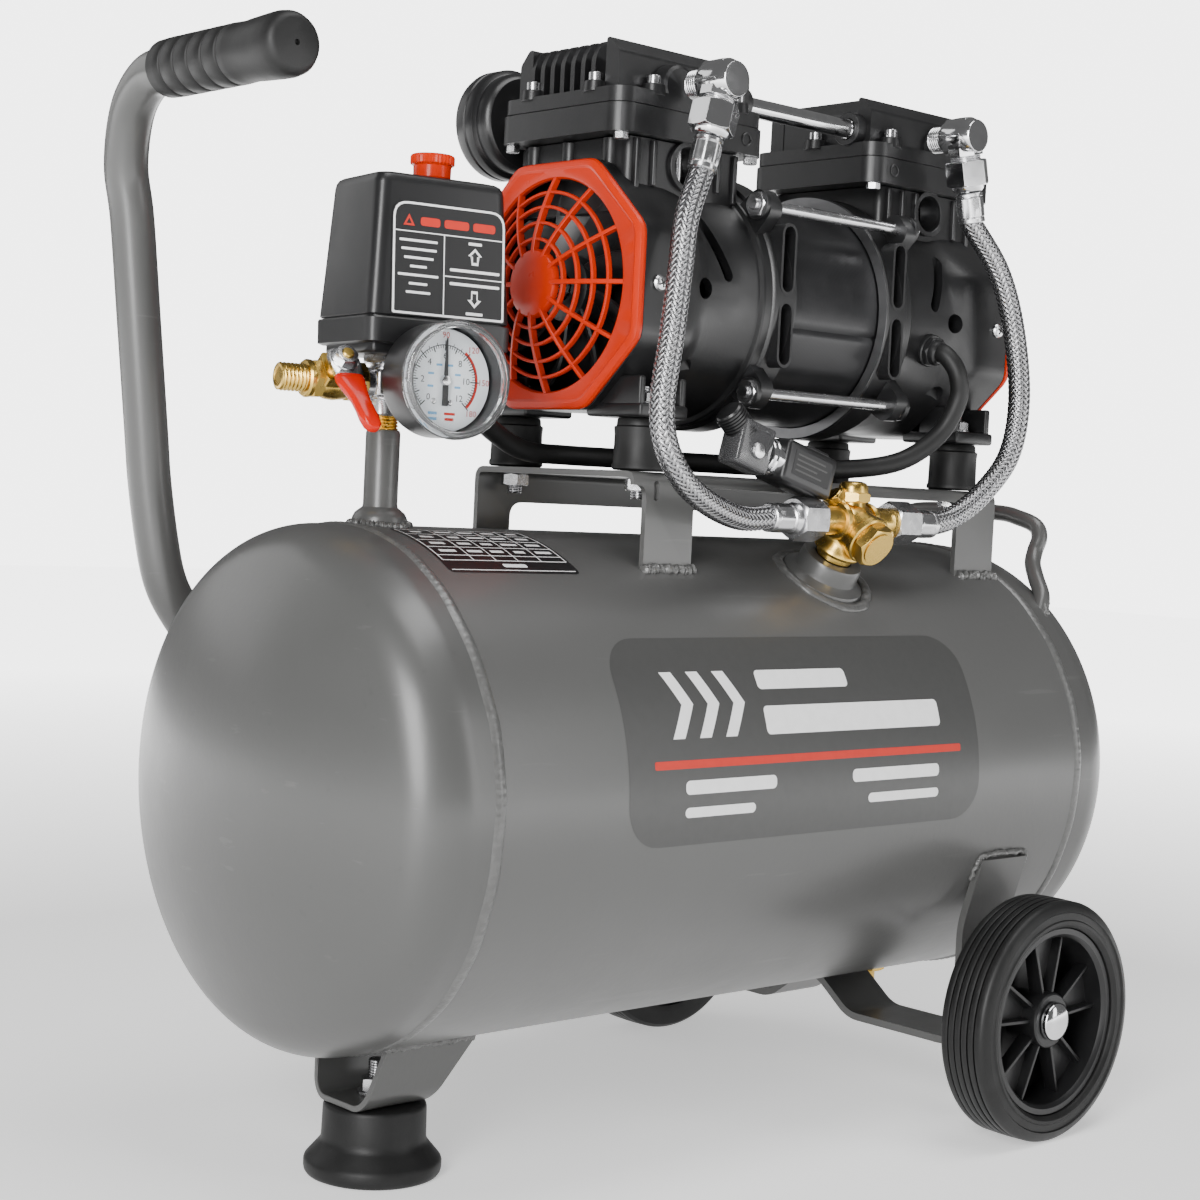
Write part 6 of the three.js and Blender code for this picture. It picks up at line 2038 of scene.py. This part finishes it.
check_boss()
check_body()


# ------------------------------------------------------------------ unloader valve
UNLOADER = move(225, -73.5, 341.5) @ turn("Y", 15) @ move(-225, 73.5, -339)


def unloader():
    coil = brick(206.4, 244, -83.6, -63.4, 328.4, 349.6, edge=2.4)
    coil = coil + brick(224, 240, -80, -67, 349.0, 351.4, edge=1.2)
    make("unloader_coil", coil.at(UNLOADER), "black_plastic", replaces=["unloader_valve"])
    core = joined([rod((x0, -74, 338.5), (x1, -74, 338.5), radius, steps=48)
                   for x0, x1, radius in ((199, 208, 8.6), (201.5, 203.5, 9.4))])
    make("unloader_core_tube", core.at(UNLOADER), "chrome", slot="black_plastic")
    stripe = plate(rectangle(-14, 14, -6.5, 6.5, radius=1.0), 0, 0.25)
    lettering = Shape()
    for i, end in enumerate((9, 11, 4, 8)):
        lettering = lettering + plate(rectangle(-12, end, 3.7 - 2.6 * i, 4.5 - 2.6 * i, radius=0.3), 0.24,
                                      0.3)
    spot = UNLOADER @ towards_near(-83.5) @ move(226, 339.5, 0)
    make("unloader_coil_label", stripe.at(spot), "label_black")
    make("unloader_coil_print", lettering.at(spot), "decal_grey", slot="black_plastic")
    box = brick(176, 199.6, -80.6, -66.4, 327.4, 350.6, edge=2.0)
    make("connector_housing", box.at(UNLOADER), "smoky_plastic")
    inner = brick(179, 197, -78.6, -68.4, 330, 348, edge=1.2)
    make("connector_insert", inner.at(UNLOADER), "black_plastic")
    screw = lathe([(0, 0), (3.9, 0), (4.1, 1.0), (3.6, 2.0), (2.0, 2.4), (0, 2.5)], 40)
    make("connector_screw", screw.at(UNLOADER @ towards_near(-80.4) @ move(188.5, 337, 0)), "zinc_steel")
    ribs = []
    for z in range(9):
        ribs += [(7.6, 1.6 * z), (7.6, 1.6 * z + 0.9), (6.9, 1.6 * z + 1.1), (6.9, 1.6 * z + 1.5)]
    gland = lathe([(0, 0)] + ribs + [(6.2, 15.2), (4.0, 16.0), (0, 16.0)], 48)
    make("connector_gland", gland.at(UNLOADER @ aim((184.0, -73.5, 344.0), (-0.86, 0.1, 0.5))),
         "black_plastic")


unloader()


# ------------------------------------------------------------------ safety valve and drain cock
def safety_valve_pieces():
    direction = turn("X", -52.0).to_3x3() @ Vector((0, 0, 1))
    line = aim(Vector((200, 0, AXIS_Z)), direction, (1, 0, 0))
    body = hexagon(16.6, 120.4, 130.6) + thread(6.6, 117.5, 120.6, pitch=1.2, depth=0.6)
    body = body + lathe([(0, 130.4), (6.6, 130.6), (6.9, 131.4), (6.9, 136), (6.2, 136.6), (6.2, 139.4),
                         (6.9, 140), (6.9, 148),
                         (6.0, 150.4), (4.0, 151.8), (0, 152)], 48)
    body = body + lathe([(1.8, 151), (1.8, 158.4), (4.8, 158.6), (4.9, 160), (0, 160), (0, 151), (1.8, 151)],
                        32)
    make("safety_valve_body", body.at(line), "brass", replaces=["safety_valve"])
    ring = [line @ Vector((a, 0, 163.0 + b)) for a, b in circle(6.4, steps=40)]
    make("safety_valve_ring", sweep(ring + ring[:1], 0.75, first_side=(0, 1, 0)), "chrome", slot="brass")


def drain_pieces():
    low = AXIS_Z - RADIUS
    line = aim((388, 0, low), (0, 0, -1), (1, 0, 0))
    body = hexagon(17.4, -1.0, 5.0) + lathe([(0, 5), (5.4, 5), (4.7, 6.4), (4.5, 13), (0, 13)], 40)
    make("drain_body", body.at(line), "brass", replaces=["drain_cock"])
    wing = plate(rounded([(-3.6, 11.6), (3.6, 11.6), (8.8, 14.4), (8.8, 18.6), (-8.8, 18.6), (-8.8, 14.4)],
                         2.2), -1.3, 1.3)
    make("drain_wing", wing.at(move(388, 0, low) @ turn("X", -90)), "brass", bevel=0.4)


safety_valve_pieces()
drain_pieces()
